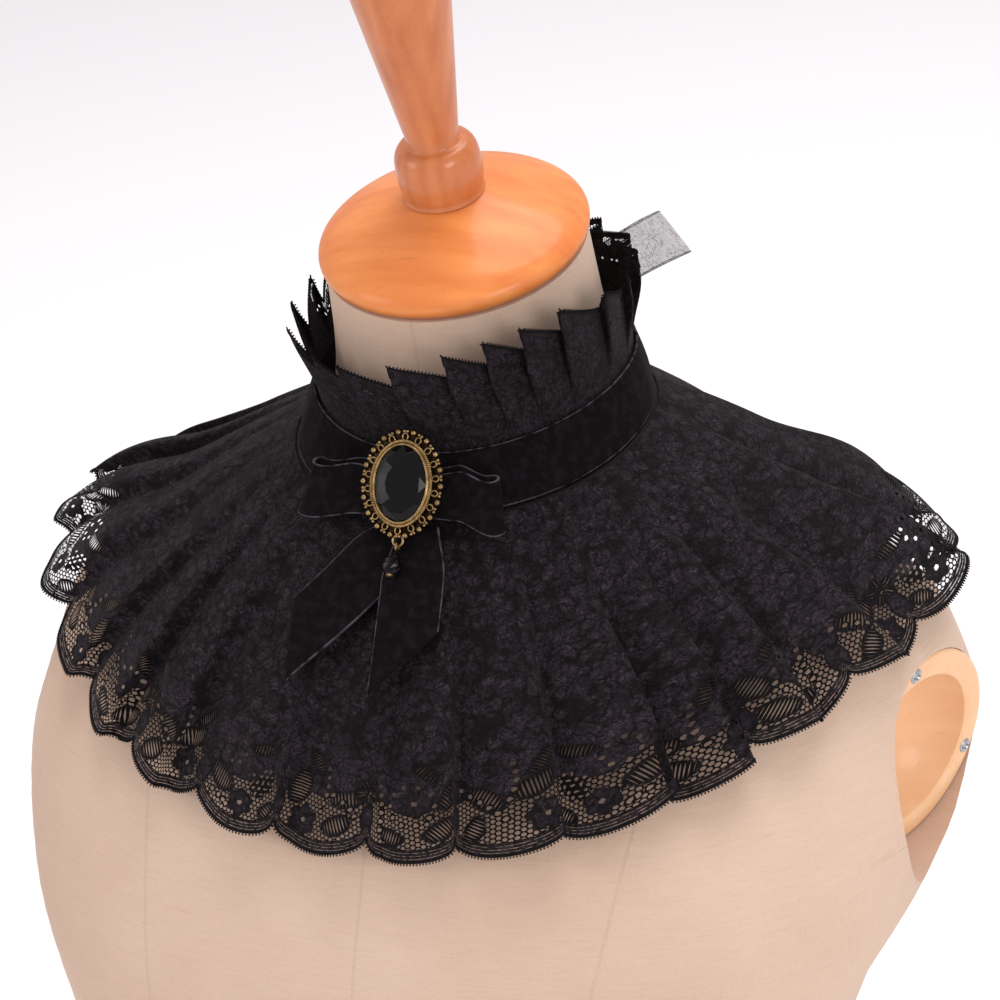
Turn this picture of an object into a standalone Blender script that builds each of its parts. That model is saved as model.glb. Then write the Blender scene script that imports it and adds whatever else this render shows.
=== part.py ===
"""Lace collar with a velvet bow and an oval brooch, on a limbless dress form.

Units are metres, +Z is up, the form faces -Y and its left shoulder is at +X. The origin is the
centre of the form's flat base. Plan angles are measured from the front centre line: 0 is the
front, a quarter turn is the form's left side and a half turn is the back.
"""
from math import cos, pi, radians, sin, sqrt, tan, tau

import bmesh
import bpy
import numpy as np
from mathutils import Matrix, Vector

# Gaps and walls
SEAM_GAP = 0.0003
LACE_WALL = 0.0012
UNDER_WALL = 0.0010
VELVET_WALL = 0.0015
ORGANZA_WALL = 0.0010

# Dress form: one row for each horizontal section of the torso
FORM_SECTIONS = (
    # height, half width, front depth, back depth, centre line's y
    (0.000, 0.144, 0.120, 0.098, -0.0020),
    (0.060, 0.122, 0.114, 0.090, -0.0050),
    (0.120, 0.120, 0.126, 0.090, -0.0100),
    (0.180, 0.142, 0.160, 0.094, -0.0140),
    (0.240, 0.166, 0.176, 0.100, -0.0110),
    (0.280, 0.188, 0.169, 0.103, -0.0060),
    (0.320, 0.198, 0.153, 0.102, 0.0000),
    (0.360, 0.188, 0.129, 0.092, 0.0030),
    (0.390, 0.157, 0.105, 0.078, 0.0050),
    (0.410, 0.121, 0.088, 0.068, 0.0060),
    (0.430, 0.080, 0.072, 0.062, 0.0080),
    (0.450, 0.060, 0.060, 0.058, 0.0090),
    (0.470, 0.055, 0.055, 0.055, 0.0080),
    (0.490, 0.053, 0.0525, 0.0525, 0.0055),
    (0.516, 0.0515, 0.0515, 0.0515, 0.0000),
)
FORM_COLUMNS = 36
FORM_LEVELS = (0.0, 0.004, 0.03, 0.06, 0.10, 0.14, 0.18, 0.22, 0.26, 0.30, 0.34, 0.365, 0.385,
               0.405, 0.42, 0.432, 0.445, 0.465, 0.49)
FORM_EDGE = 0.004
FRONT_SQUARENESS = 1.2
BACK_SQUARENESS = 0.1
ROUND_HEIGHT = 0.36
SQUARE_FADE = 0.12

# Wooden cap and turned finial, on the neck's leaning axis
CAP_CENTRE = Vector((0.0, 0.0, 0.520))
NECK_LEAN = radians(12.5)
CAP_PROFILE = (
    # height, radius
    (0.0185, 0.0), (0.0185, 0.0150), (0.0163, 0.0210), (0.0122, 0.0340), (0.0072, 0.0455),
    (0.0038, 0.0508), (0.0008, 0.0530), (-0.0025, 0.0529), (-0.0055, 0.0505), (-0.0060, 0.0), )
FINIAL_PROFILE = (
    # height, radius
    (0.1900, 0.0), (0.1892, 0.0085), (0.1855, 0.0158), (0.1790, 0.0210), (0.1700, 0.0238),
    (0.1590, 0.0243), (0.1350, 0.0227), (0.1050, 0.0187), (0.0750, 0.0146), (0.0520, 0.0114),
    (0.0440, 0.0103), (0.0415, 0.0108), (0.0405, 0.0135), (0.0378, 0.0156), (0.0335, 0.0165),
    (0.0270, 0.0166), (0.0225, 0.0160), (0.0205, 0.0156), (0.0188, 0.0160), (0.0188, 0.0), )
TURNED_STEPS = 24

# Wooden shoulder sockets
SOCKET_FACE = Vector((0.1775, -0.0185, 0.318))
SOCKET_DOWN = radians(9.0)
SOCKET_FORWARD = radians(24.0)
SOCKET_RADIUS = 0.043
SOCKET_DEPTH = 0.034
BOWL_RADIUS = 0.0330
BOWL_BALL_RADIUS = 0.0345
SOCKET_SIDES = 32

# Seam at the neck: the velvet band's lower edge, the frill's foot and the flounce's top
SEAM_FRONT_HEIGHT = 0.4320
SEAM_BACK_RISE = 0.0130
SEAM_SIDE_RISE = 0.0050
BAND_WIDTH = 0.0210
BAND_LOW_GAP = 0.0055
BAND_HIGH_GAP = 0.0075
BAND_COLUMNS = 60
BACK_OPENING = radians(3.0)

# Frill: knife pleats that stand up round the neck
FRILL_HEIGHT = 0.0590
FRILL_PLEATS = 24
FRILL_PLEAT_DEPTH = 0.0058
FRILL_FLARE = 0.04
FRILL_SLUMP = 0.0080
SLUMP_ANGLE = radians(-95.0)
SLUMP_WIDTH = radians(75.0)
FRILL_PLEAT_STEPS = (
    # place in the pleat, share of the depth
    (0.0, 0.0), (0.40, 0.52), (0.80, 1.0), (0.88, 0.90), )
FRILL_RISES = (SEAM_GAP, 0.0105, 0.0206, 0.0390, FRILL_HEIGHT)
FRILL_FOOT_GAP = 0.0005
FRILL_SCALLOP = 0.0025

# Flounce: pleated lace over the shoulders, with a scalloped hem
FLOUNCE_LENGTH_FRONT = 0.1280
FLOUNCE_LENGTH_SIDE = 0.1390
FLOUNCE_LENGTH_BACK = 0.1380
FLOUNCE_TOP = 0.0027
FLOUNCE_CLEARANCE = 0.0059
FLOUNCE_PLEATS = 26
FLOUNCE_COLUMNS = 182
FLOUNCE_ROWS = (0.0, 0.11, 0.26, 0.44, 0.63, 0.82, 1.0)
PLEAT_DEPTH_SEAM = 0.0004
PLEAT_DEPTH_HEM = 0.0095
PLEAT_CREST = 0.70
SCALLOPS = 26
SCALLOP_DEPTH = 0.0085
START_SLOPE_FRONT = radians(44.0)
START_SLOPE_SIDE = radians(23.0)
BEND_FRONT = 1.0 / 0.14
BEND_SIDE = 1.0 / 0.32
STEEPEST = radians(86.0)
DRAPE_STEP = 0.0025
DRAPE_ANGLES = 120

# Plain layer under the lace
UNDER_SHORTER = 0.0370
UNDER_COLUMNS = 52
UNDER_ROWS = (0.0, 0.10, 0.22, 0.36, 0.51, 0.67, 0.84, 1.0)
UNDER_DROP = 0.0008

# Velvet bow
RIBBON_WIDTH = 0.0230
BOW_LOOP_RISE = 0.0178
BOW_LOOP_REACH = {"bow_loop_left": 0.0385, "bow_loop_right": 0.0385}
BOW_LOOP_DROOP = 0.0065
DROOP_START = 0.0180
BOW_LOOP_DEPTH = 0.0060
BOW_ROOT = 0.0092
LOOP_CLEAR_RISE = 0.0016
LOOP_LEAN = 0.15
BOW_LIFT = 0.0008
BOW_RISE = 0.0006
KNOT_SIZE = Vector((0.0165, 0.0085, 0.0205))
TAILS = (
    # name, length, turn from straight down (towards the form's right), start across,
    # extra lift, slant of the cut end
    ("bow_tail_right", 0.0670, radians(36.0), 0.0030, 0.0009, 0.0200),
    ("bow_tail_left", 0.0560, radians(-5.0), 0.0050, 0.0028, -0.0230),
)
TAIL_START = 0.0050
TAIL_TOP = 0.0045
TAIL_PINCH = 0.60
TAIL_OPEN = 0.0240
TAIL_STEPS = 10

# Brooch
BROOCH_RAISE = 0.0012
BOW_LEAN = radians(29.0)
KNOT_RISE = 0.0115
KNOT_LIFT = 0.0014
STONE_HALF = (0.0110, 0.0150)
BROOCH_LOBES = 18
BROOCH_RINGS = (
    # outset from the stone's edge, height, share of the lobes
    (-0.0004, 0.0016, 0.0), (0.0000, 0.0034, 0.0), (0.0009, 0.0035, 0.0), (0.0016, 0.0022, 0.0),
    (0.0048, 0.0017, 1.0), (0.0048, 0.0006, 1.0), (0.0030, 0.0000, 0.0), )
LOBE_DEPTH = 0.0006
STONE_RINGS = (
    # share of the half sizes, height
    (0.90, 0.0020), (0.955, 0.0028), (0.955, 0.0037), (0.76, 0.0058), (0.56, 0.0065), )
STONE_SIDES = 16
LUG_RADIUS = 0.0021
LUG_WIRE = 0.0005
LINK_RADIUS = 0.0016
LINK_WIRE = 0.0004
DROP_RADIUS = 0.0037
DROP_LENGTH = 0.0105
DROP_RINGS = (
    # share of the length, share of the radius
    (0.0, 0.20), (0.10, 0.42), (0.32, 0.78), (0.60, 1.0), (0.82, 0.80), (0.96, 0.42), (1.0, 0.16), )
DROP_SIDES = 12
DROP_SLOPE = radians(54.0)

# Organza tie at the back
TIE_WIDTH = 0.0240
TIE_LIFT = 0.0042
TIE_TAIL_LIFT = 0.0010
TIE_KNOT = Vector((0.0150, 0.0080, 0.0170))
TIE_LEAN = radians(6.0)
TIE_RISE = 0.55
LOOP_WRAP = 0.55
LOOP_STAND = 0.55
LOOP_PINCH = 0.35
TIE_TAIL_START = 0.0030
TIE_TAIL_DROP = 0.0060
TIE_TAIL_APART = 0.0010
TIE_SPREAD = 0.50
TIE_LOOPS = (
    # name, side, reach, rise at the end, depth of the loop, slant of the folded end
    ("tie_loop_left", 1.0, 0.0550, 0.0245, 0.0100, -0.0120),
    ("tie_loop_right", -1.0, 0.0540, 0.0090, 0.0100, 0.0060),
)
TIE_TAILS = (
    # name, length, turn from straight down
    ("tie_tail_left", 0.0900, radians(-16.0)),
    ("tie_tail_right", 0.0820, radians(18.0)),
)


def clear_scene():
    for item in list(bpy.data.objects):
        bpy.data.objects.remove(item, do_unlink=True)


def make_collection(name):
    group = bpy.data.collections.new(name)
    bpy.context.scene.collection.children.link(group)
    return group


def make_material(name, colour, roughness, metallic=0.0):
    """A Principled material from a linear colour."""
    material = bpy.data.materials.new(name)
    material.use_nodes = True
    shader = material.node_tree.nodes["Principled BSDF"]
    shader.inputs["Base Color"].default_value = (*colour, 1.0)
    shader.inputs["Roughness"].default_value = roughness
    shader.inputs["Metallic"].default_value = metallic
    return material


def smooth_step(value):
    value = np.clip(value, 0.0, 1.0)
    return value * value * (3.0 - 2.0 * value)


def smooth_column(heights, column):
    """A function that reads one column of FORM_SECTIONS, without overshoot between rows."""
    slopes = np.diff(column) / np.diff(heights)
    rates = np.zeros(len(column))
    for i in range(1, len(column) - 1):
        if slopes[i - 1] * slopes[i] > 0.0:
            rates[i] = 2.0 * slopes[i - 1] * slopes[i] / (slopes[i - 1] + slopes[i])

    def read(height):
        height = np.clip(height, heights[0], heights[-1])
        i = np.clip(np.searchsorted(heights, height) - 1, 0, len(column) - 2)
        span = heights[i + 1] - heights[i]
        t = (height - heights[i]) / span
        low = column[i] * (1 + 2 * t) * (1 - t) ** 2 + rates[i] * span * t * (1 - t) ** 2
        high = column[i + 1] * t * t * (3 - 2 * t) - rates[i + 1] * span * t * t * (1 - t)
        return low + high

    return read


SECTION_TABLE = np.array(FORM_SECTIONS)
half_width, front_depth, back_depth, centre_y = (
    smooth_column(SECTION_TABLE[:, 0], SECTION_TABLE[:, i]) for i in range(1, 5))


def form_radius(angle, height):
    """Distance from the form's centre line to its surface, at a plan angle and a height."""
    ahead = np.cos(angle) > 0.0
    depth = np.where(ahead, front_depth(height), back_depth(height))
    squareness = np.where(ahead, FRONT_SQUARENESS, BACK_SQUARENESS)
    power = 2.0 + squareness * np.clip((ROUND_HEIGHT - height) / SQUARE_FADE, 0.0, 1.0)
    wide = np.abs(np.sin(angle) / half_width(height)) ** power
    deep = np.abs(np.cos(angle) / depth) ** power
    return (wide + deep) ** (-1.0 / power)


def form_point(angle, radius, height):
    return Vector((radius * sin(angle), float(centre_y(height)) - radius * cos(angle), height))


def seam_height(angle):
    back = (1.0 - np.cos(angle)) / 2.0
    return SEAM_FRONT_HEIGHT + SEAM_BACK_RISE * back + SEAM_SIDE_RISE * np.sin(angle) ** 2


def band_radius(angle, rise):
    """Inner radius of the velvet band, rise metres above the seam."""
    low = form_radius(angle, seam_height(angle)) + BAND_LOW_GAP
    high = form_radius(angle, seam_height(angle) + BAND_WIDTH) + BAND_HIGH_GAP
    return low + (high - low) * rise / BAND_WIDTH


def trace_drape():
    """Profiles of the cloth over the form, one for each plan angle.

    Each profile leaves the seam and bends down as far as the lace's stiffness and the form
    below it allow. Returns the angles and the radius and height of each step.
    """
    angles = np.arange(DRAPE_ANGLES + 1) * tau / DRAPE_ANGLES - pi
    side = np.sin(angles) ** 2
    slope = START_SLOPE_FRONT + (START_SLOPE_SIDE - START_SLOPE_FRONT) * side
    bend = BEND_FRONT + (BEND_SIDE - BEND_FRONT) * side
    height = seam_height(angles)
    radius = band_radius(angles, 0.0)
    start_gap = radius - form_radius(angles, height)
    steps = int(FLOUNCE_LENGTH_SIDE / DRAPE_STEP) + 8
    settle = 8.0
    ease = 0.01
    radii, heights = [radius], [height]
    for step in range(steps):
        slope = np.minimum(slope + bend * DRAPE_STEP, STEEPEST)
        share = min(1.0, step / settle)
        gap = start_gap + (FLOUNCE_CLEARANCE - start_gap) * share
        for _ in range(160):
            next_radius = radius + DRAPE_STEP * np.cos(slope)
            next_height = height - DRAPE_STEP * np.sin(slope)
            inside = next_radius < form_radius(angles, next_height) + gap
            if not inside.any():
                break
            slope = np.where(inside, slope - ease, slope)
        radius, height = next_radius, next_height
        radii.append(radius)
        heights.append(height)
    return angles, smooth_round(np.array(radii)), smooth_round(np.array(heights))


def smooth_round(rows):
    """Even out each row of the profiles round the neck."""
    ring = rows[:, :-1]
    for _ in range(3):
        ring = 0.25 * np.roll(ring, 1, axis=1) + 0.5 * ring + 0.25 * np.roll(ring, -1, axis=1)
    return np.concatenate([ring, ring[:, :1]], axis=1)


DRAPE_PLAN, DRAPE_RADII, DRAPE_HEIGHTS = trace_drape()


def drape_read(table, angle, length):
    across = (angle + pi) / tau * DRAPE_ANGLES
    along = length / DRAPE_STEP
    i = min(max(int(across), 0), DRAPE_ANGLES - 1)
    j = min(max(int(along), 0), len(table) - 2)
    u, v = across - i, along - j
    first = table[j, i] * (1 - u) + table[j, i + 1] * u
    second = table[j + 1, i] * (1 - u) + table[j + 1, i + 1] * u
    return float(first * (1 - v) + second * v)


def drape_point(angle, length, lift=0.0):
    """A point of the cloth, length metres below the seam and lift metres off its base."""
    reach = DRAPE_STEP
    radius = drape_read(DRAPE_RADII, angle, length)
    height = drape_read(DRAPE_HEIGHTS, angle, length)
    run = drape_read(DRAPE_RADII, angle, length + reach) - radius
    fall = height - drape_read(DRAPE_HEIGHTS, angle, length + reach)
    scale = lift / max(sqrt(run * run + fall * fall), 1e-9)
    return form_point(angle, radius + fall * scale, height + run * scale)


def flounce_length(angle):
    turn = abs(angle)
    side = float(smooth_step((turn - radians(55.0)) / radians(38.0)))
    back = float(smooth_step((turn - radians(115.0)) / radians(50.0)))
    length = FLOUNCE_LENGTH_FRONT + (FLOUNCE_LENGTH_SIDE - FLOUNCE_LENGTH_FRONT) * side
    return length + (FLOUNCE_LENGTH_BACK - FLOUNCE_LENGTH_SIDE) * back


def plan_angle(share):
    """Plan angle at a share of the way round, from one back edge to the other."""
    return -pi + BACK_OPENING + share * (tau - 2.0 * BACK_OPENING)


def pleat_envelope(length):
    """Largest height of the flounce's pleats at a distance below the seam."""
    grown = float(smooth_step(length / 0.105))
    return PLEAT_DEPTH_SEAM + (PLEAT_DEPTH_HEM - PLEAT_DEPTH_SEAM) * grown


def over_pleats(length):
    """Lift that clears the pleats' folded edges, whose walls meet at a corner."""
    return 1.12 * pleat_envelope(length) + 1.3 * LACE_WALL + SEAM_GAP


def pleat_height(share, length):
    """How far the flounce's pleats stand off the base surface: long faces, steep returns."""
    phase = FLOUNCE_PLEATS * share
    phase += 0.24 * sin(tau * (3.0 * share + 0.13)) + 0.16 * sin(tau * (7.0 * share + 0.41))
    place = phase % 1.0
    if place < PLEAT_CREST:
        shape = sin(pi / 2 * place / PLEAT_CREST) ** 1.4
    else:
        shape = cos(pi / 2 * (place - PLEAT_CREST) / (1.0 - PLEAT_CREST)) ** 0.8
    uneven = 0.84 + 0.16 * sin(tau * (5.0 * share + 0.3))
    return pleat_envelope(length) * uneven * shape


def scallop_edge(share):
    """How far the hem's edge draws back between its rounded scallops."""
    return SCALLOP_DEPTH * (1.0 - abs(sin(pi * SCALLOPS * share)) ** 0.55)


def link_object(name, mesh, material, group, frame=None):
    part = bpy.data.objects.new(name, mesh)
    part.data.materials.append(material)
    group.objects.link(part)
    if frame is not None:
        part.matrix_world = frame
    return part


def mesh_from(bm, name):
    mesh = bpy.data.meshes.new(name)
    bm.to_mesh(mesh)
    bm.free()
    return mesh


def sheet_mesh(name, rows, flip=False):
    """An open sheet through rows of points, one face between each four neighbours."""
    bm = bmesh.new()
    grid = [[bm.verts.new(point) for point in row] for row in rows]
    for low, high in zip(grid[:-1], grid[1:]):
        for i in range(len(low) - 1):
            corners = (low[i], low[i + 1], high[i + 1], high[i])
            bm.faces.new(corners[::-1] if flip else corners)
    return mesh_from(bm, name)


def add_wall(part, wall, side):
    """Give an open sheet its thickness; side -1 goes behind its faces and +1 in front."""
    solid = part.modifiers.new("wall", "SOLIDIFY")
    solid.thickness = wall
    solid.offset = side
    solid.use_even_offset = True
    solid.use_rim = True
    faces = part.modifiers.new("faces", "TRIANGULATE")
    faces.quad_method = "SHORTEST_DIAGONAL"
    return part


def loft_mesh(name, rings):
    """A closed solid through closed rings of points, with a flat face at each end."""
    bm = bmesh.new()
    grid = [[bm.verts.new(point) for point in ring] for ring in rings]
    count = len(grid[0])
    for low, high in zip(grid[:-1], grid[1:]):
        for i in range(count):
            j = (i + 1) % count
            bm.faces.new((low[i], low[j], high[j], high[i]))
    bm.faces.new(grid[0][::-1])
    bm.faces.new(grid[-1])
    bmesh.ops.recalc_face_normals(bm, faces=bm.faces)
    return mesh_from(bm, name)


def turned_part(name, profile, material, group, frame):
    """A solid of revolution from rows of height and radius, listed top to bottom."""
    mesh = bpy.data.meshes.new(name)
    points = [(radius, 0.0, height) for height, radius in profile]
    mesh.from_pydata(points, [(i, i + 1) for i in range(len(points) - 1)], [])
    part = link_object(name, mesh, material, group, frame)
    screw = part.modifiers.new("turn", "SCREW")
    screw.steps = TURNED_STEPS
    screw.render_steps = TURNED_STEPS
    screw.use_merge_vertices = True
    screw.merge_threshold = 0.0001
    weld = part.modifiers.new("close", "WELD")
    weld.merge_threshold = 0.0001
    return part


def combine(part, other, operation="DIFFERENCE"):
    """Cut another solid out of a part, or fuse it on with UNION."""
    boolean = part.modifiers.new(other.name, "BOOLEAN")
    boolean.operation = operation
    boolean.solver = "EXACT"
    boolean.object = other


def hide_cutter(part):
    part.hide_render = True
    part.display_type = "WIRE"


def cylinder_mesh(name, radius, low, high, sides):
    """A cylinder on the local Z axis between two heights."""
    bm = bmesh.new()
    middle = Matrix.Translation((0.0, 0.0, (low + high) / 2.0))
    bmesh.ops.create_cone(bm, cap_ends=True, segments=sides, radius1=radius, radius2=radius,
                          depth=high - low, matrix=middle)
    return mesh_from(bm, name)


def neck_frame():
    return Matrix.Translation(CAP_CENTRE) @ Matrix.Rotation(NECK_LEAN, 4, "X")


def make_torso(material, group):
    """The covered torso, hollowed at the shoulders for the sockets."""
    rings = []
    turns = [i * tau / FORM_COLUMNS for i in range(FORM_COLUMNS)]
    for height in FORM_LEVELS:
        inset = FORM_EDGE if height == 0.0 else 0.0
        rings.append([form_point(turn, float(form_radius(turn, height)) - inset, height)
                      for turn in turns])
    under_cap = -CAP_PROFILE[-1][0] + SEAM_GAP
    top_radius = FORM_SECTIONS[-1][1]
    top = neck_frame() @ Matrix.Translation((0.0, 0.0, -under_cap))
    rings.append([top @ Vector((top_radius * sin(turn), -top_radius * cos(turn), 0.0))
                  for turn in turns])
    return link_object("torso", loft_mesh("torso", rings), material, group)


def socket_frame(side):
    """Frame of a socket's outer face: local Z points out of the shoulder."""
    outward = Vector((side * cos(SOCKET_DOWN) * cos(SOCKET_FORWARD),
                      -cos(SOCKET_DOWN) * sin(SOCKET_FORWARD), -sin(SOCKET_DOWN)))
    place = Vector((side * SOCKET_FACE.x, SOCKET_FACE.y, SOCKET_FACE.z))
    return Matrix.Translation(place) @ outward.to_track_quat("Z", "Y").to_matrix().to_4x4()


def make_sockets(torso, material, group, cutters):
    """A turned wooden cup in each shoulder, seated in a round pocket of the torso."""
    beyond = 0.05
    for name, side in (("socket_left", 1.0), ("socket_right", -1.0)):
        frame = socket_frame(side)
        pocket_mesh = cylinder_mesh("pocket", SOCKET_RADIUS + SEAM_GAP, -SOCKET_DEPTH - SEAM_GAP,
                                    beyond, SOCKET_SIDES)
        pocket = link_object(name + "_pocket", pocket_mesh, material, cutters, frame)
        hide_cutter(pocket)
        combine(torso, pocket)
        block = cylinder_mesh(name, SOCKET_RADIUS, -SOCKET_DEPTH, 0.0, SOCKET_SIDES)
        part = link_object(name, block, material, group, frame)
        bevel = part.modifiers.new("edge", "BEVEL")
        bevel.width = 0.0015
        bevel.segments = 1
        bevel.limit_method = "ANGLE"
        ball_bm = bmesh.new()
        bmesh.ops.create_uvsphere(ball_bm, u_segments=24, v_segments=12, radius=BOWL_BALL_RADIUS)
        out = sqrt(BOWL_BALL_RADIUS ** 2 - BOWL_RADIUS ** 2)
        ball_frame = frame @ Matrix.Translation((0.0, 0.0, out))
        ball = link_object(name + "_bowl", mesh_from(ball_bm, "bowl"), material, cutters,
                           ball_frame)
        hide_cutter(ball)
        combine(part, ball)


def make_flounce(material, group):
    """The pleated lace flounce, with its scalloped hem and the opening at the back."""
    rows = []
    for share_down in FLOUNCE_ROWS:
        row = []
        for column in range(FLOUNCE_COLUMNS + 1):
            share = column / FLOUNCE_COLUMNS
            angle = plan_angle(share)
            length = flounce_length(angle) - scallop_edge(share) * smooth_step(
                (share_down - 0.5) / 0.5)
            down = FLOUNCE_TOP + share_down * (length - FLOUNCE_TOP)
            row.append(drape_point(angle, down, pleat_height(share, down)))
        rows.append(row)
    part = link_object("flounce", sheet_mesh("flounce", rows, flip=True), material, group)
    return add_wall(part, LACE_WALL, 1.0)


def make_underlayer(material, group):
    """The plain layer under the lace, which ends above the see-through border."""
    rows = []
    for share_down in UNDER_ROWS:
        row = []
        for column in range(UNDER_COLUMNS + 1):
            angle = plan_angle(column / UNDER_COLUMNS)
            down = SEAM_GAP + share_down * (flounce_length(angle) - UNDER_SHORTER)
            drop = SEAM_GAP + UNDER_DROP * float(smooth_step(down / 0.02))
            row.append(drape_point(angle, down, -drop))
        rows.append(row)
    part = link_object("underlayer", sheet_mesh("underlayer", rows, flip=True), material, group)
    return add_wall(part, UNDER_WALL, -1.0)


def frill_slump(angle):
    """How much lower the frill stands on the form's right, where it has settled."""
    away = abs((angle - SLUMP_ANGLE + pi) % tau - pi) / SLUMP_WIDTH
    return FRILL_SLUMP * (1.0 - float(smooth_step(away)))


def frill_radius(angle, rise):
    if rise <= BAND_WIDTH:
        return float(band_radius(angle, rise)) - FRILL_FOOT_GAP
    top = float(band_radius(angle, BAND_WIDTH)) - FRILL_FOOT_GAP
    return top + FRILL_FLARE * (rise - BAND_WIDTH)


def frill_columns():
    """Shares round the neck and pleat heights, through every fold of the frill."""
    columns = []
    for pleat in range(FRILL_PLEATS):
        for place, depth in FRILL_PLEAT_STEPS:
            columns.append(((pleat + place) / FRILL_PLEATS, depth, place))
    columns.append((1.0, 0.0, 0.0))
    return columns


def make_frill(material, group):
    """The standing frill: its foot is behind the band and its pleats open above it."""
    rows = []
    for level in FRILL_RISES:
        row = []
        for share, depth, place in frill_columns():
            angle = plan_angle(share)
            rounded = FRILL_SCALLOP * (1.0 - sin(pi * min(1.0, place / 0.88)))
            above = max(0.0, level - BAND_WIDTH) / (FRILL_HEIGHT - BAND_WIDTH)
            rise = level - frill_slump(angle) * above
            rise -= rounded if level == FRILL_HEIGHT else 0.0
            opened = float(smooth_step((rise - BAND_WIDTH) / (FRILL_HEIGHT - BAND_WIDTH) * 1.3))
            radius = frill_radius(angle, rise) + FRILL_PLEAT_DEPTH * depth * opened
            row.append(form_point(angle, radius, float(seam_height(angle)) + rise))
        rows.append(row)
    part = link_object("frill", sheet_mesh("frill", rows), material, group)
    return add_wall(part, LACE_WALL, -1.0)


def band_point(angle, rise, lift):
    radius = float(band_radius(angle, rise)) + lift
    return form_point(angle, radius, float(seam_height(angle)) + rise)


def make_band(material, group):
    """The velvet ribbon round the neck, over the frill's foot."""
    rows = []
    for rise in (0.0, BAND_WIDTH / 2.0, BAND_WIDTH):
        rows.append([band_point(plan_angle(i / BAND_COLUMNS), rise, 0.0)
                     for i in range(BAND_COLUMNS + 1)])
    part = link_object("velvet_band", sheet_mesh("velvet_band", rows), material, group)
    return add_wall(part, VELVET_WALL, 1.0)


def loop_path(reach, depth, root, steps=9, turn_steps=6):
    """Out, round and back in plan: pairs of distance along and distance off the band."""
    path = [(root + (reach - root) * i / steps, depth * (0.75 + 0.25 * sin(pi / 2 * i / steps)))
            for i in range(steps)]
    for i in range(turn_steps + 1):
        turn = pi / 2 - pi * i / turn_steps
        path.append((reach + depth / 2 * cos(turn), depth / 2 + depth / 2 * sin(turn)))
    path += [(root + (reach - root) * (steps - i) / steps, 0.0) for i in range(1, steps + 1)]
    return path


def make_bow_loop(name, side, material, group):
    """One flat velvet loop that lies along the band."""
    foot = 2.0 * VELVET_WALL + BOW_LIFT
    round_neck = float(band_radius(0.0, BAND_WIDTH / 2)) + VELVET_WALL + BOW_LIFT
    reach = BOW_LOOP_REACH[name]
    rows = []
    for width in (0.0, BOW_LOOP_RISE / 2, BOW_LOOP_RISE):
        row = []
        for along, off in loop_path(reach, BOW_LOOP_DEPTH, BOW_ROOT):
            settled = float(smooth_step((along - DROOP_START) / (reach - DROOP_START)))
            low = BOW_RISE - BOW_LOOP_DROOP * settled
            rise = low + width
            over_seam = max(0.0, LOOP_CLEAR_RISE - low) / tan(START_SLOPE_FRONT)
            over_seam *= 1.0 - LOOP_LEAN * width / BOW_LOOP_RISE
            row.append(band_point(side * along / round_neck, rise, foot + over_seam + off))
        rows.append(row)
    part = link_object(name, sheet_mesh(name, rows, flip=side < 0.0), material, group)
    return add_wall(part, VELVET_WALL, -1.0)


def rounded_block(name, size, frame, material, group):
    bm = bmesh.new()
    bmesh.ops.create_cube(bm, size=1.0, matrix=Matrix.Diagonal((*size, 1.0)))
    part = link_object(name, mesh_from(bm, name), material, group, frame)
    bevel = part.modifiers.new("edge", "BEVEL")
    bevel.width = min(size) * 0.3
    bevel.segments = 2
    return part


def front_frame(angle, rise, lift, lean):
    """A frame on the band: local X along it, Y up its slope and Z away from the neck."""
    back = Matrix.Rotation(angle, 4, "Z") @ Matrix.Rotation(pi / 2 - lean, 4, "X")
    return Matrix.Translation(band_point(angle, rise, lift)) @ back


def knot_frame():
    lift = VELVET_WALL + SEAM_GAP + KNOT_LIFT + KNOT_SIZE.y / 2
    return front_frame(0.0, KNOT_RISE, lift, BOW_LEAN)


def make_knot(material, group):
    size = Vector((KNOT_SIZE.x, KNOT_SIZE.z, KNOT_SIZE.y))
    return rounded_block("bow_knot", size, knot_frame(), material, group)


def make_tail(name, length, turn, start, extra, slant, material, group):
    """A velvet ribbon end that lies over the flounce's pleats, cut on the slant."""
    rows = []
    for i in range(TAIL_STEPS + 1):
        row = []
        for across in (-0.5, 0.0, 0.5):
            end = length + across * slant
            along = TAIL_START + (end - TAIL_START) * i / TAIL_STEPS
            opened = float(smooth_step(along / TAIL_OPEN))
            sideways = across * RIBBON_WIDTH * (TAIL_PINCH + (1.0 - TAIL_PINCH) * opened)
            right = start - along * sin(turn) + sideways * cos(turn)
            down = TAIL_START * 0.5 + along * cos(turn) + sideways * sin(turn)
            down = max(down, TAIL_TOP)
            angle = right / drape_read(DRAPE_RADII, 0.0, down)
            lift = over_pleats(down) + extra
            row.append(drape_point(angle, down, lift))
        rows.append(row)
    part = link_object(name, sheet_mesh(name, rows), material, group)
    return add_wall(part, VELVET_WALL, 1.0)


def brooch_frame():
    """Frame of the brooch: origin at the stone's centre on the back plate's plane."""
    return knot_frame() @ Matrix.Translation((0.0, BROOCH_RAISE, KNOT_SIZE.y / 2 + SEAM_GAP))


def oval_ring(outset, height, lobes=0.0, sides=BROOCH_LOBES * 3):
    points = []
    for i in range(sides):
        turn = i * tau / sides
        lobe = LOBE_DEPTH * lobes * cos(BROOCH_LOBES * turn)
        points.append(Vector(((STONE_HALF[0] + outset + lobe) * cos(turn),
                              (STONE_HALF[1] + outset + lobe) * sin(turn), height)))
    return points


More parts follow.
